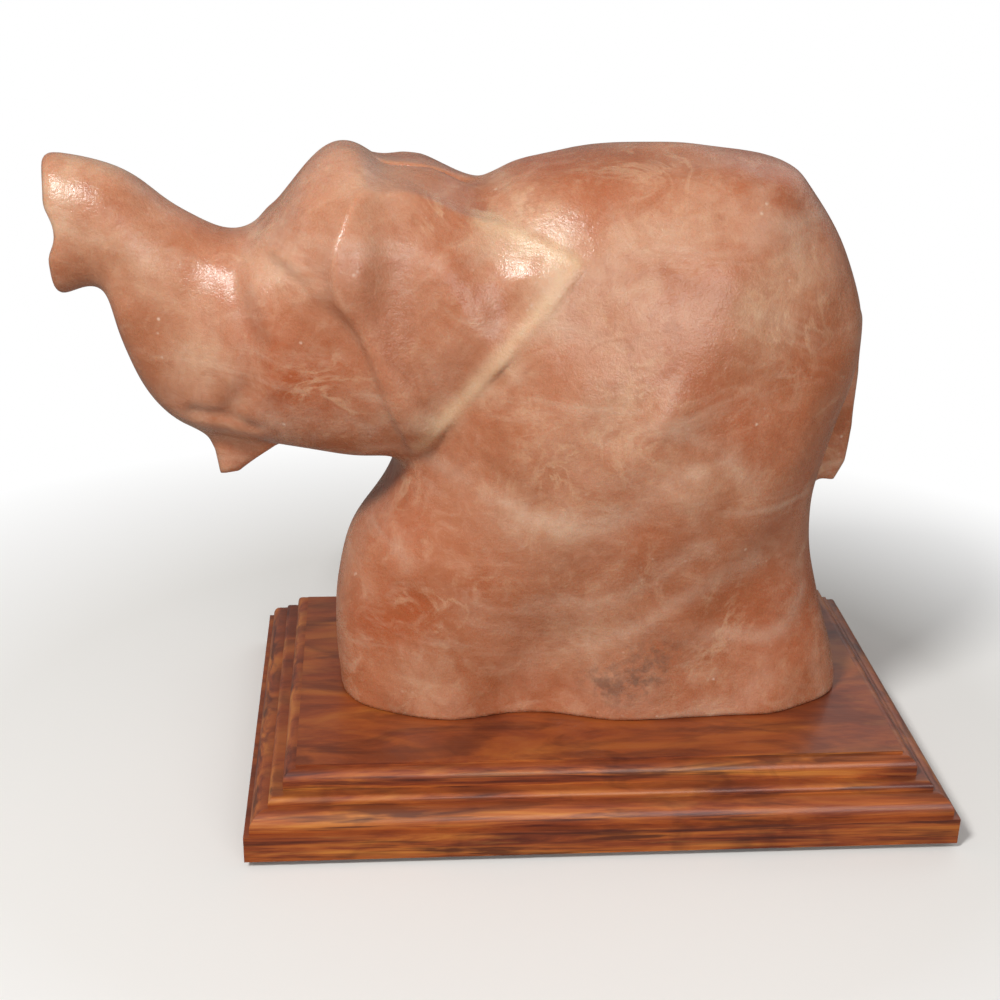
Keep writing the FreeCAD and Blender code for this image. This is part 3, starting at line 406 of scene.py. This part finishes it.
def carve():
    """The whole carving as one field, negative inside the salt."""
    field = smooth_min(sanded(torso(), 3) - 0.1, head_and_trunk(), 5)
    field = sanded(field, 1.4) - 0.2
    lip = plate(LIP, LIP_HALF_WIDTH, TRUNK_ROOT_X, SALT_FLOOR, -TRUNK_LENGTH, SALT_HEIGHT, 4)
    field = smooth_min(field, lip, 3)
    tail = plate(TAIL, TAIL_HALF_WIDTH, SALT_SHIFT, SALT_FLOOR, SALT_LENGTH, SALT_HEIGHT, 3)
    field = smooth_min(field, tail, 5)
    flank = ramp(Y, 5, 14)
    field = field + flank * 1.6 * stroke(TRUNK_CREASE, 3.5) - flank * 1.2 * stroke(CHEEK, 5)
    field = field - flank * 0.9 * stroke(BROW, 3.2) + flank * 1.0 * stroke(EYE, 2.0)
    field = field + flank * 1.2 * stroke(MOUTH, 2.2)
    # The ear grows out of the crown, has a soft front edge and a crisp rear one.
    rooted = ramp(-side_x, 26, 50) * ramp(side_z, 140, 164)
    fillet = 0.7 + 16 * rooted + 2.2 * ramp(-side_x, 46, 58) * (1 - rooted)
    field = smooth_min(field, ear(skin_of(field)), fillet[:, None, :].astype(np.float32))

    # Between the fore and the hind leg the flank draws in, most at the foot.
    hollow = stroke([(-18, SALT_FLOOR), (-16, SALT_FLOOR + 60)], 17)
    fade = 1 - ramp(Z, SALT_FLOOR, SALT_FLOOR + 62)
    field = field + 4.6 * hollow * fade * ramp(Y, 8, 20)

    # The open end of the trunk.
    tip_x, tip_z = TRUNK_ROOT_X - TRUNK_LENGTH - 4.8, SALT_FLOOR + 0.855 * SALT_HEIGHT
    mouth = TRUNK_MOUTH_RADIUS - np.hypot(side_x - tip_x, side_z - tip_z)[:, None, :]
    return smooth_max(field, mouth, 2).astype(np.float32)


def bulb_bore():
    """The hole drilled up from below for the bulb, positive inside it."""
    radius = np.hypot(X, Y)
    floor_up = Z - SALT_FLOOR
    up_the_tip = np.clip((floor_up - BORE_DEPTH) / BORE_TIP, 0, 2)
    narrow = BORE_RADIUS - (BORE_RADIUS - BORE_TIP_RADIUS) * up_the_tip
    return -np.maximum(radius - narrow, floor_up - BORE_DEPTH - BORE_TIP).astype(np.float32)


def both_sides(half):
    """The field of the whole block from that of its far half."""
    return np.concatenate([half[:, :0:-1], half], axis=1)


# ------------------------------------------------------------------ from field to mesh


def sample(field, points, origin):
    """Values of the field at any points, between the grid's own."""
    at = (points - origin) / VOXEL
    low = np.clip(np.floor(at).astype(int), 0, np.array(field.shape) - 2)
    part = at - low
    value = np.zeros(len(points))
    for corner in np.ndindex(2, 2, 2):
        weight = np.prod(np.where(corner, part, 1 - part), axis=1)
        value += weight * field[tuple((low + corner).T)]
    return value


def slope(field, points, origin):
    """The field's gradient at any points."""
    step = VOXEL * 0.75
    found = [
        sample(field, points + step * axis, origin) - sample(field, points - step * axis, origin)
        for axis in np.eye(3)
    ]
    return np.stack(found, 1) / (2 * step)


def surface_net(field, origin):
    """Corners and four-sided faces of the surface where the field is zero."""
    inside = field < 0
    nx, ny, nz = (n - 1 for n in field.shape)
    crossing_sum = np.zeros((nx, ny, nz, 3), np.float32)
    crossings = np.zeros((nx, ny, nz), np.float32)
    for axis in range(3):
        first = [slice(None)] * 3
        second = [slice(None)] * 3
        first[axis], second[axis] = slice(0, -1), slice(1, None)
        a, b = field[tuple(first)], field[tuple(second)]
        cut = np.argwhere(inside[tuple(first)] != inside[tuple(second)])
        share = a[tuple(cut.T)] / (a[tuple(cut.T)] - b[tuple(cut.T)])
        point = cut.astype(np.float32)
        point[:, axis] += share
        others = [i for i in range(3) if i != axis]
        for back in ((0, 0), (1, 0), (0, 1), (1, 1)):
            cell = cut.copy()
            cell[:, others] -= back
            fits = np.all((cell >= 0) & (cell < (nx, ny, nz)), axis=1)
            target = tuple(cell[fits].T)
            np.add.at(crossing_sum, target, point[fits])
            np.add.at(crossings, target, 1)
    used = np.argwhere(crossings > 0)
    number = np.full((nx, ny, nz), -1, np.int64)
    number[tuple(used.T)] = np.arange(len(used))
    corners = crossing_sum[tuple(used.T)] / crossings[tuple(used.T)][:, None]
    faces = []
    for axis in range(3):
        first = [slice(1, -1)] * 3
        second = [slice(1, -1)] * 3
        first[axis], second[axis] = slice(0, -1), slice(1, None)
        cut = np.argwhere(inside[tuple(first)] != inside[tuple(second)])
        cut += [0 if i == axis else 1 for i in range(3)]
        one, two = [i for i in range(3) if i != axis]
        ring = []
        for back_one, back_two in ((0, 0), (1, 0), (1, 1), (0, 1)):
            cell = cut.copy()
            cell[:, one] -= back_one
            cell[:, two] -= back_two
            ring.append(number[tuple(cell.T)])
        ring = np.stack(ring, 1)
        turned = inside[tuple(cut.T)] == (axis != 1)
        faces.append(np.where(turned[:, None], ring[:, ::-1], ring))
    return corners * VOXEL + origin, np.concatenate(faces)


def mesh_from(name, corners, faces):
    """A smooth-shaded object from arrays of corners in millimetres and four-sided faces."""
    mesh = bpy.data.meshes.new(name)
    mesh.vertices.add(len(corners))
    mesh.vertices.foreach_set("co", ((corners + (BULB_AXIS, 0, 0)) * MM).astype(np.float32).ravel())
    mesh.loops.add(faces.size)
    mesh.loops.foreach_set("vertex_index", faces.ravel().astype(np.int32))
    mesh.polygons.add(len(faces))
    mesh.polygons.foreach_set("loop_start", np.arange(0, faces.size, 4, dtype=np.int32))
    mesh.polygons.foreach_set("use_smooth", np.ones(len(faces), bool))
    mesh.update(calc_edges=True)
    mesh.validate()
    made = bpy.data.objects.new(name, mesh)
    bpy.context.scene.collection.objects.link(made)
    return made


def hand_worked(field):
    """Adds the shallow unevenness that rasps and sandpaper leave, the same on every run."""
    rng = np.random.default_rng(11)
    full_y = np.concatenate([-grid_y[:0:-1], grid_y])[None, :, None]
    uneven = np.zeros_like(field)
    for wavelength, height, count in ((46, 0.30, 5), (21, 0.10, 6)):
        for _ in range(count):
            direction = rng.normal(size=3)
            direction *= 2 * math.pi / wavelength / np.linalg.norm(direction)
            phase = rng.uniform(0, 2 * math.pi)
            wave = np.sin(direction[0] * X + direction[1] * full_y + direction[2] * Z + phase)
            uneven += (height * wave).astype(np.float32)
    return field + uneven


def make_salt():
    """The carving as a mesh, with what its material needs to know at each corner."""
    block = hand_worked(both_sides(carve()))
    field = np.maximum(np.maximum(block, both_sides(bulb_bore())), SALT_FLOOR - Z)
    origin = np.array([grid_x[0], -grid_y[-1], grid_z[0]])
    corners, faces = surface_net(field, origin)
    # Each corner is moved down the field's slope on to the surface itself.
    for _ in range(2):
        value = sample(field, corners, origin)
        normal = slope(field, corners, origin)
        steep = np.maximum((normal**2).sum(1), 0.2)
        move = -(value / steep)[:, None] * normal
        corners = corners + np.clip(move, -0.4, 0.4)
    corners[:, 2] = np.maximum(corners[:, 2], SALT_FLOOR)
    made = mesh_from("salt_sculpt", corners, faces)
    normal = slope(field, corners, origin)
    normal /= np.maximum(np.linalg.norm(normal, axis=1), 1e-6)[:, None]
    # How thick the salt is, found by steps inwards from each corner to where it ends.
    thickness = np.full(len(corners), 30.0)
    for depth in np.arange(24, 1, -1.5):
        beyond = sample(block, corners - depth * normal, origin) > 0
        thickness = np.where(beyond, depth, thickness)
    wavy = [corners[:, axis] + 4 * np.sin(corners @ waves + axis) for axis, waves in enumerate(WARPS)]
    soft = np.stack(wavy, 1)
    for name, value in (
        # Painted light: where the salt is thin it is made paler, for light shining through it.
        ("thin", (1 - ramp(thickness, 4, 20)) * (1 - ramp(corners[:, 0], 50, 62))),
        ("pale", zones(soft, PALE)),
        ("deep", zones(soft, DEEP)),
        ("veins", lines(soft, VEINS, 3.2)),
        # Painted light along the ear's rear rim, for light shining through it.
        ("rim", lines(corners, RIM, 2.2) * (corners[:, 1] ** 2 > 18**2)),
        ("grime", zones(soft, GRIME)),
    ):
        layer = made.data.attributes.new(name, "FLOAT", "POINT")
        layer.data.foreach_set("value", value.astype(np.float32))
    return made


# Where the block is paler, where it is more orange and where it is smeared grey on the
# flank: x, z, reach and strength. The far flank has them too.
# Many of the pale patches are painted light: highlights on the trunk, the brow and the crown, and light
# shining through the thin trunk tip and the ear's rear part.
PALE = [
    (-141, 172, 13, 0.9), (-121, 152, 13, 0.55), (-113, 128, 11, 0.45), (-86, 160, 6, 0.6), (-66, 176, 9, 0.6),
    (-30, 170, 6, 0.7), (-21, 166, 6, 1.0), (-14, 162, 5, 1.0), (-18, 154, 5, 0.8), (-32, 139, 5, 0.6),
    (-47, 114, 6, 0.7), (-37, 128, 5, 0.5), (7, 153, 17, 0.6), (-3, 124, 14, 0.5), (-16, 92, 16, 0.4),
    (-3, 55, 13, 0.55), (-48, 40, 9, 0.5), (44, 152, 12, 0.6), (20, 178, 14, 0.3), (28, 100, 12, 0.4),
]
DEEP = [
    (-83, 129, 16, 0.9), (-96, 142, 9, 0.6), (-57, 94, 14, 0.8), (-58, 60, 14, 1.0), (-38, 70, 9, 0.5),
    (-24, 176, 12, 0.6), (-8, 172, 12, 0.6), (34, 178, 16, 0.8), (0, 146, 7, 0.6), (14, 134, 8, 0.8),
    (26, 124, 8, 0.8), (38, 116, 9, 0.8), (58, 128, 14, 0.7), (46, 60, 14, 0.8), (64, 56, 12, 1.0),
    (56, 92, 12, 0.6), (8, 84, 10, 0.4),
]
GRIME = [(6, 40, 7, 0.7), (18, 42, 8, 0.8), (12, 50, 5, 0.3), (-58, 30, 5, 0.3)]
VEINS = [
    [(-62, 106), (-40, 99), (-16, 93), (8, 96), (26, 103)],
    [(-14, 68), (4, 70), (27, 79)],
    [(-2, 52), (20, 62), (44, 79)],
    [(8, 118), (26, 112), (42, 103)],
    [(30, 48), (46, 52), (60, 62)],
]
# Along these lines the ear's thin rim is painted pale, for light shining through it, down to its lower tip;
# the patches' edges waver by these waves.
RIM = [[(-36, 170.5), (-24, 166), (-12, 161.5), (-19, 152), (-31, 137), (-41, 123), (-51, 109)]]
WARPS = ((0.020, 0.090, 0.110), (0.05, 0.02, 0.08), (0.105, 0.060, 0.030))


def zones(points, table):
    """Soft patches on both flanks, each fading out round its middle."""
    clear = np.ones(len(points))
    for x, z, reach, strength in table:
        away = (points[:, 0] - x) ** 2 + (points[:, 2] - z) ** 2
        clear *= 1 - strength * np.exp(-away / reach**2)
    return 1 - clear


def lines(points, table, width):
    """1 on the lines drawn on both flanks, fading to 0 about this far from them."""
    value = np.zeros(len(points))
    for line in table:
        for (ax, az), (bx, bz) in zip(line, line[1:]):
            dx, dz = bx - ax, bz - az
            t = ((points[:, 0] - ax) * dx + (points[:, 2] - az) * dz) / (dx * dx + dz * dz)
            t = np.clip(t, 0, 1)
            away = np.hypot(points[:, 0] - ax - t * dx, points[:, 2] - az - t * dz)
            value = np.maximum(value, np.exp(-((away / width) ** 2)))
    return value


# ------------------------------------------------------------------ materials


def tone(code):
    """A colour given as six hex digits, as the linear values that shaders take."""
    parts = [int(code[i : i + 2], 16) / 255 for i in (0, 2, 4)]
    return (*[p / 12.92 if p <= 0.04045 else ((p + 0.055) / 1.055) ** 2.4 for p in parts], 1.0)


class Paint:
    """A procedural material: nodes are added and joined by short calls."""

    def __init__(self, name, **values):
        self.material = bpy.data.materials.new(name)
        self.material.use_nodes = True
        self.tree = self.material.node_tree
        self.shader = self.tree.nodes["Principled BSDF"]
        for key, value in values.items():
            self.shader.inputs[key.replace("_", " ")].default_value = value
        self.place = self.tree.nodes.new("ShaderNodeTexCoord").outputs["Object"]

    def add(self, kind, settings=(), **inputs):
        """A new node with its own settings; inputs are values or outputs, named or as _ and a number."""
        node = self.tree.nodes.new(f"ShaderNode{kind}")
        for key, value in dict(settings).items():
            setattr(node, key, value)
        for key, value in inputs.items():
            socket = int(key[1:]) if key[1:].isdigit() else key.replace("_", " ")
            self.feed(node.inputs[socket], value)
        return node

    def feed(self, socket, value):
        if isinstance(value, bpy.types.NodeSocket):
            self.tree.links.new(value, socket)
        else:
            socket.default_value = value

    def stretched(self, scale, turn=(0, 0, 0)):
        """The object's coordinates turned by these degrees and scaled along each axis."""
        turn = [math.radians(angle) for angle in turn]
        return self.add("Mapping", Vector=self.place, Scale=scale, Rotation=turn).outputs[0]

    def noise(self, scale, detail=3, rough=0.5, place=None, warp=0):
        place = place or self.place
        values = {"Scale": scale, "Detail": detail, "Roughness": rough, "Distortion": warp}
        return self.add("TexNoise", Vector=place, **values).outputs["Fac"]

    def spread(self, value, low, high, from_low=0.0, from_high=1.0):
        """The value mapped straight on to the range from low to high."""
        limits = {"From_Min": from_low, "From_Max": from_high, "To_Min": low, "To_Max": high}
        return self.add("MapRange", Value=value, **limits).outputs[0]

    def ramp(self, value, *stops):
        """A colour ramp; each stop is (place, hex colour or grey value)."""
        node = self.add("ValToRGB", Fac=value)
        points = node.color_ramp.elements
        while len(points) < len(stops):
            points.new(0.5)
        for point, (where, colour) in zip(points, stops):
            point.position = where
            point.color = tone(colour) if isinstance(colour, str) else (colour, colour, colour, 1)
        return node.outputs["Color"]

    def mix(self, share, low, high):
        """Low where the share is 0 and high where it is 1; either is a hex colour or an output."""
        node = self.add("Mix", {"data_type": "RGBA"})
        self.feed(node.inputs["Factor"], share)
        self.feed(node.inputs[6], tone(low) if isinstance(low, str) else low)
        self.feed(node.inputs[7], tone(high) if isinstance(high, str) else high)
        return node.outputs[2]

    def maths(self, operation, a, b=0.0, c=0.0):
        node = self.add("Math", {"operation": operation})
        for socket, value in zip(node.inputs, (a, b, c)):
            self.feed(socket, value)
        return node.outputs[0]

    def bump(self, height, distance, strength=1.0, below=None):
        node = self.add("Bump", Height=height, Distance=distance, Strength=strength)
        if below is not None:
            self.feed(node.inputs["Normal"], below)
        return node.outputs["Normal"]

    def times(self, a, b):
        return self.maths("MULTIPLY", a, b)

    def finish(self, **inputs):
        for key, value in inputs.items():
            self.feed(self.shader.inputs[key.replace("_", " ")], value)
        return self.material


def salt_material():
    """Pink rock salt: orange and pale clouds, some of them painted highlights, beds and wisps, thin parts and
    rims painted pale for light shining through, and a frosted skin.
    """
    paint = Paint("rock_salt", Subsurface_Weight=0.35, Subsurface_Scale=0.007, IOR=1.5, Specular_IOR_Level=0.5)
    paint.shader.inputs["Subsurface Radius"].default_value = (1.0, 0.42, 0.25)
    layer = {
        name: paint.add("Attribute", {"attribute_name": name}).outputs["Fac"]
        for name in ("thin", "pale", "deep", "veins", "rim", "grime")
    }
    cloud = paint.noise(24, 6, 0.62, warp=0.8)
    body = paint.ramp(cloud, (0.32, "A9623E"), (0.45, "B87350"), (0.57, "C38464"), (0.70, "C9957A"))
    ragged = paint.spread(paint.noise(48, 5, 0.66, warp=0.6), 0.2, 1.2, 0.34, 0.66)
    body = paint.mix(paint.times(layer["deep"], ragged), body, "B0592F")
    # Pale patches: partly painted highlights on the trunk, brow and crown, and painted light shining through
    # the thin trunk tip and ear.
    body = paint.mix(paint.times(layer["pale"], ragged), body, "DDB696")
    mottle = paint.noise(95, 6, 0.68, warp=1.2)
    body = paint.mix(paint.ramp(mottle, (0.34, 0.34), (0.48, 0.0)), body, "A45B36")
    body = paint.mix(paint.ramp(mottle, (0.52, 0.0), (0.70, 0.30)), body, "E0B595")
    # Pale beds of salt lie across the block like tilted, wavy sheets, and wisps run through it.
    tilted = paint.stretched((19, 12, 52), turn=(6, 28, 0))
    bed = paint.noise(1.0, 6, 0.65, place=tilted, warp=1.1)
    body = paint.mix(paint.ramp(bed, (0.53, 0.0), (0.70, 0.38)), body, "E0BDA2")
    wisp = paint.maths("ABSOLUTE", paint.maths("SUBTRACT", paint.noise(46, 6, 0.6, warp=1.6), 0.5))
    gaps = paint.ramp(paint.noise(30, 3, 0.6), (0.50, 0.0), (0.66, 0.34))
    wisp = paint.ramp(wisp, (0.0, 1.0), (0.045, 0.0))
    body = paint.mix(paint.times(wisp, gaps), body, "E8C19C")
    vein = paint.times(layer["veins"], paint.times(ragged, 0.30))
    body = paint.mix(vein, body, "EACAB0")
    # Painted light: thin salt is made paler, for light shining through it.
    body = paint.mix(paint.ramp(layer["thin"], (0.35, 0.0), (1.0, 0.8)), body, "E2BE94")
    # Painted light: the ear's rear rim is made paler, for light shining through it.
    body = paint.mix(paint.times(layer["rim"], 0.42), body, "EBCDA6")
    speck = paint.noise(330, 2, 0.7)
    smear = paint.times(layer["grime"], paint.ramp(speck, (0.40, 0.25), (0.62, 1.0)))
    body = paint.mix(smear, body, "7A5A4A")
    cells = paint.add("TexVoronoi", Vector=paint.place, Scale=260.0)
    spot = paint.ramp(cells.outputs["Distance"], (0.05, 1.0), (0.16, 0.0))
    rare = paint.ramp(paint.noise(90, 1, 0.5), (0.60, 0.0), (0.68, 0.6))
    body = paint.mix(paint.times(spot, rare), body, "EBCFBA")
    # Sandpaper left a frosted skin whose grains glint one by one.
    grain = paint.noise(1300, 2, 0.7)
    normal = paint.bump(paint.noise(70, 3, 0.5), 0.0014, 0.6)
    normal = paint.bump(paint.noise(380, 4, 0.65), 0.00025, 0.5, normal)
    normal = paint.bump(grain, 0.0002, 0.7, normal)
    worn = paint.maths("MULTIPLY_ADD", paint.noise(45, 3, 0.6), 0.28, paint.times(grain, 0.2))
    rough = paint.maths("ADD", worn, 0.03)
    return paint.finish(Base_Color=body, Roughness=rough, Normal=normal)


def rosewood_material():
    """Lacquered rosewood with dark streaks, smears on its top and open pores."""
    paint = Paint("rosewood", Coat_Weight=0.35, Coat_Roughness=0.2, IOR=1.5, Specular_IOR_Level=0.4)
    # The grain climbs gently from left to right, so the routed steps cut it into slanting streaks.
    climbing = paint.stretched((13, 48, 230), turn=(0, 12, 4))
    figure = paint.noise(1.0, 6, 0.65, place=climbing, warp=0.9)
    steeper = paint.stretched((26, 80, 520), turn=(0, 14, -5))
    streak = paint.noise(1.0, 4, 0.6, place=steeper, warp=0.5)
    wood = paint.ramp(figure, (0.32, "541F11"), (0.44, "8A3D1B"), (0.54, "AE5A24"), (0.68, "C87A32"))
    wood = paint.mix(paint.ramp(streak, (0.36, 0.8), (0.50, 0.0)), wood, "44180F")
    wood = paint.mix(paint.ramp(streak, (0.56, 0.0), (0.70, 0.35)), wood, "D08A42")
    # Painted shade: faces that turn upwards are tinted a darker red-brown.
    up = paint.add("SeparateXYZ", Vector=paint.add("NewGeometry").outputs["Normal"]).outputs["Z"]
    wood = paint.mix(paint.ramp(up, (0.75, 0.0), (0.98, 0.5)), wood, "84401F")
    smudged = paint.stretched((30, 80, 24), turn=(0, 0, 28))
    smear = paint.noise(1.0, 4, 0.6, place=smudged, warp=1.0)
    wood = paint.mix(paint.ramp(smear, (0.54, 0.0), (0.67, 0.45)), wood, "46190F")
    pores = paint.noise(1.0, 2, 0.5, place=paint.stretched((90, 1500, 1500), turn=(0, 6, 0)))
    normal = paint.bump(pores, 0.00014, 0.4)
    rough = paint.spread(paint.noise(60, 3, 0.6), 0.34, 0.6)
    return paint.finish(Base_Color=wood, Roughness=rough, Normal=normal)


def plain_material(name, low, high, rough, scale=160.0, **values):
    """A material for small hardware: two close tones, uneven gloss and a fine relief."""
    paint = Paint(name, **values)
    cloud = paint.noise(scale, 4, 0.6)
    colour = paint.mix(paint.ramp(cloud, (0.35, 0.0), (0.65, 1.0)), low, high)
    gloss = paint.spread(paint.noise(scale * 2.3, 3, 0.6), rough, rough + 0.15)
    normal = paint.bump(paint.noise(scale * 7, 2), 0.00008, 0.5)
    return paint.finish(Base_Color=colour, Roughness=gloss, Normal=normal)


def dress(node, material):
    """Gives a CAD node its material."""
    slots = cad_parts[node].data.materials
    slots.clear()
    slots.append(material)


# ------------------------------------------------------------------ the bulb's fine parts


def from_rings(name, rings, joined):
    """An object through rings of points; joined makes the last ring meet the first."""
    rings = np.asarray(rings)
    rows, across = rings.shape[:2]
    number = np.arange(rows * across).reshape(rows, across)
    if joined:
        number = np.concatenate([number, number[:1]])
    turned = np.roll(number, -1, axis=1)
    faces = np.stack([number[:-1], turned[:-1], turned[1:], number[1:]], -1).reshape(-1, 4)
    return mesh_from(name, rings.reshape(-1, 3), faces)


def threaded_cap():
    """The bulb's cap, rolled from thin brass with a rounded thread and a plain collar."""
    low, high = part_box("bulb_cap")
    radius = (high.x - low.x) / 2 / MM
    foot, top = low.z / MM, high.z / MM
    pitch, depth, wall, rolled_in = 2.82, 0.8, 0.3, 0.5
    turn = np.linspace(0, 2 * math.pi, 48, endpoint=False)
    rise = np.linspace(foot, top, 110)
    rings = []
    for z in np.concatenate([rise, rise[::-1]]):
        inner = wall if len(rings) >= len(rise) else 0
        fade = ramp(z, foot + 0.4, foot + 2) * (1 - ramp(z, top - 4, top - 2.6))
        groove = depth * fade * (1 - np.cos(2 * math.pi * z / pitch - turn)) / 2
        reach = radius - groove - inner - rolled_in * (1 - ramp(z, foot, foot + 1.5))
        ring = [reach * np.cos(turn), reach * np.sin(turn), np.full(len(turn), z)]
        rings.append(np.stack(ring, 1))
    return from_rings("bulb_cap_threaded", rings, True)


def coiled_filament():
    """Fine tungsten wire wound into a coil between the two lead wires."""
    low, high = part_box("bulb_filament")
    reach, middle = (high.x - low.x) / 2 / MM, (low.z + high.z) / 2 / MM
    coil, wire, turns = (high.z - low.z) / 2 / MM - 0.12, 0.11, 16
    lengthwise = np.array([1, 0, 0])
    round_wire = np.linspace(0, 2 * math.pi, 7, endpoint=False)
    rings = []
    for share in np.linspace(0, 1, turns * 14):
        angle = 2 * math.pi * turns * share
        outward = np.array([0, math.cos(angle), math.sin(angle)])
        centre = np.array([reach * (2 * share - 1), 0, middle]) + coil * outward
        # The wire's two ends close to a point.
        thick = wire if 0 < share < 1 else 0.01
        spokes = [math.cos(a) * outward + math.sin(a) * lengthwise for a in round_wire]
        rings.append([centre + thick * spoke for spoke in spokes])
    return from_rings("bulb_filament_coil", rings, False)


# ------------------------------------------------------------------ the lamp's own pieces

salt = make_salt()
salt.data.materials.append(salt_material())
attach(salt, "base")
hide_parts("salt_elephant")

steel = plain_material("plated_steel", "8E8A82", "B5B0A5", 0.28, Metallic=1.0)
spring = plain_material("spring_steel", "7C7D80", "A2A3A5", 0.22, Metallic=1.0)
brass = plain_material("brass", "A9803A", "C79E52", 0.25, Metallic=1.0)
rubber = plain_material("rubber", "141414", "232221", 0.7)
white = plain_material("white_plastic", "D8D5CC", "E6E3DB", 0.35)
porcelain = plain_material("porcelain", "DDD9CE", "EDEAE0", 0.15, scale=60.0, Coat_Weight=0.6)
nylon = plain_material("nylon", "C4C0B2", "D6D2C5", 0.5)
solder = plain_material("solder", "8C8C8C", "B6B6B4", 0.35, Metallic=1.0)
wire = plain_material("filament_wire", "5A5957", "83807B", 0.4, Metallic=1.0)
black_glass = plain_material("black_glass", "060607", "101012", 0.08)
clear_glass = plain_material("clear_glass", "F4F6F6", "FFFFFF", 0.02, Transmission_Weight=1.0, IOR=1.46)

for material, node_names in (
    (rosewood_material(), ["wooden_base"]),
    (rubber, ["foot_front_left", "foot_front_right", "foot_rear_left", "foot_rear_right"]),
    (steel, ["base_ferrule", "ferrule_screws", "salt_screws", "terminal_screws", "clip_bracket"]),
    (nylon, ["salt_plugs"]),
    (white, ["holder_cap"]),
    (porcelain, ["holder_body"]),
    (brass, ["holder_screw_shell", "centre_contact", "shell_contact", "terminal_live", "terminal_neutral"]),
    (spring, ["spring_clip_left", "spring_clip_right"]),
    (clear_glass, ["bulb_glass", "bulb_stem"]),
    (brass, ["bulb_cap"]),
    (black_glass, ["bulb_insulator"]),
    (solder, ["bulb_contact"]),
    (wire, ["bulb_lead_wires", "bulb_filament"]),
):
    for node_name in node_names:
        dress(node_name, material)

for piece, node_name, material, slot in (
    (threaded_cap(), "bulb_cap", brass, "bulb_brass"),
    (coiled_filament(), "bulb_filament", wire, "filament_wire"),
):
    piece.data.materials.append(material)
    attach(piece, "bulb")
    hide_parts(node_name)

# ------------------------------------------------------------------ floor, light and camera


def make_floor():
    """A pale floor that runs out into plain white round the lamp, as the camera and glass see it."""
    bpy.ops.mesh.primitive_circle_add(vertices=96, radius=6, fill_type="NGON")
    floor = bpy.context.object
    floor.name = "studio_floor"
    paint = Paint("studio_floor", Roughness=0.9, Specular_IOR_Level=0.1)
    speck = paint.mix(paint.noise(3, 2, 0.5), "F1EFEB", "F4F2EE")
    away = paint.add("VectorMath", {"operation": "LENGTH"}, _0=paint.stretched((1, 1.15, 1))).outputs[1]
    paths = paint.add("LightPath").outputs
    seen = paint.maths("MAXIMUM", paths["Is Camera Ray"], paths["Is Transmission Ray"])
    white_out = paint.times(seen, paint.ramp(away, (0.16, 0.0), (0.30, 1.0)))
    lit = paint.finish(Base_Color=paint.mix(seen, "8E8A84", speck))
    plain_white = paint.add("Emission", Color=(1, 1, 1, 1), Strength=1.0).outputs[0]
    blend = paint.add("MixShader", _0=white_out, _1=paint.shader.outputs[0], _2=plain_white).outputs[0]
    # From below the floor is clear, so that the underside can be seen.
    below = paint.add("NewGeometry").outputs["Backfacing"]
    clear = paint.add("BsdfTransparent").outputs[0]
    surface = paint.add("MixShader", _0=below, _1=blend, _2=clear).outputs[0]
    paint.feed(paint.tree.nodes["Material Output"].inputs[0], surface)
    floor.data.materials.append(lit)


def make_lamp(name, place, width, energy):
    """A round soft lamp that faces the middle of the carving."""
    aim = (0, 0, 0.09)
    light = bpy.data.lights.new(name, "AREA")
    light.shape = "DISK"
    light.size = width
    light.energy = energy
    made = bpy.data.objects.new(name, light)
    made.location = place
    made.rotation_euler = (Vector(aim) - Vector(place)).to_track_quat("-Z", "Y").to_euler()
    bpy.context.scene.collection.objects.link(made)


def make_world():
    """A dim white room that the camera and glass see as plain white."""
    world = bpy.data.worlds.new("studio")
    bpy.context.scene.world = world
    world.use_nodes = True
    nodes, links = world.node_tree.nodes, world.node_tree.links
    room = nodes["Background"]
    shown = nodes.new("ShaderNodeBackground")
    for background, strength in ((room, 0.28), (shown, 1.0)):
        background.inputs["Color"].default_value = (1, 1, 1, 1)
        background.inputs["Strength"].default_value = strength
    paths = nodes.new("ShaderNodeLightPath").outputs
    seen = nodes.new("ShaderNodeMath")
    seen.operation = "MAXIMUM"
    links.new(paths["Is Camera Ray"], seen.inputs[0])
    links.new(paths["Is Transmission Ray"], seen.inputs[1])
    choice = nodes.new("ShaderNodeMixShader")
    for socket, source in zip(choice.inputs, (seen, room, shown)):
        links.new(source.outputs[0], socket)
    links.new(choice.outputs[0], nodes["World Output"].inputs[0])


def make_camera():
    """The photograph's own view: a little above, a little to the left of the base's middle."""
    yaw, pitch, roll = (math.radians(angle) for angle in (4.82, 23.56, 1.35))
    focal_pixels, frame_pixels = 1598, 1000
    ahead = Vector((math.sin(yaw), math.cos(yaw), 0))
    forward = ahead * math.cos(pitch) - Vector((0, 0, math.sin(pitch)))
    level = Vector((math.cos(yaw), -math.sin(yaw), 0))
    upward = level.cross(forward)
    right = level * math.cos(roll) + upward * math.sin(roll)
    up = upward * math.cos(roll) - level * math.sin(roll)
    lens = bpy.data.cameras.new("camera")
    lens.sensor_width = 36
    lens.lens = lens.sensor_width * focal_pixels / frame_pixels
    camera = bpy.data.objects.new("camera", lens)
    place = Matrix((right, up, -forward)).transposed().to_4x4()
    place.translation = Vector((-0.0379, -0.4298, 0.2691))
    camera.matrix_world = place
    bpy.context.scene.collection.objects.link(camera)
    bpy.context.scene.camera = camera


make_floor()
make_world()
make_lamp("key", (-0.62, -0.72, 1.05), 0.25, 13)
make_lamp("front", (0.35, -1.3, 0.45), 0.8, 6)
make_lamp("rear", (0.7, 0.8, 0.7), 0.9, 1.2)
make_camera()
bpy.context.scene.view_settings.view_transform = "Standard"
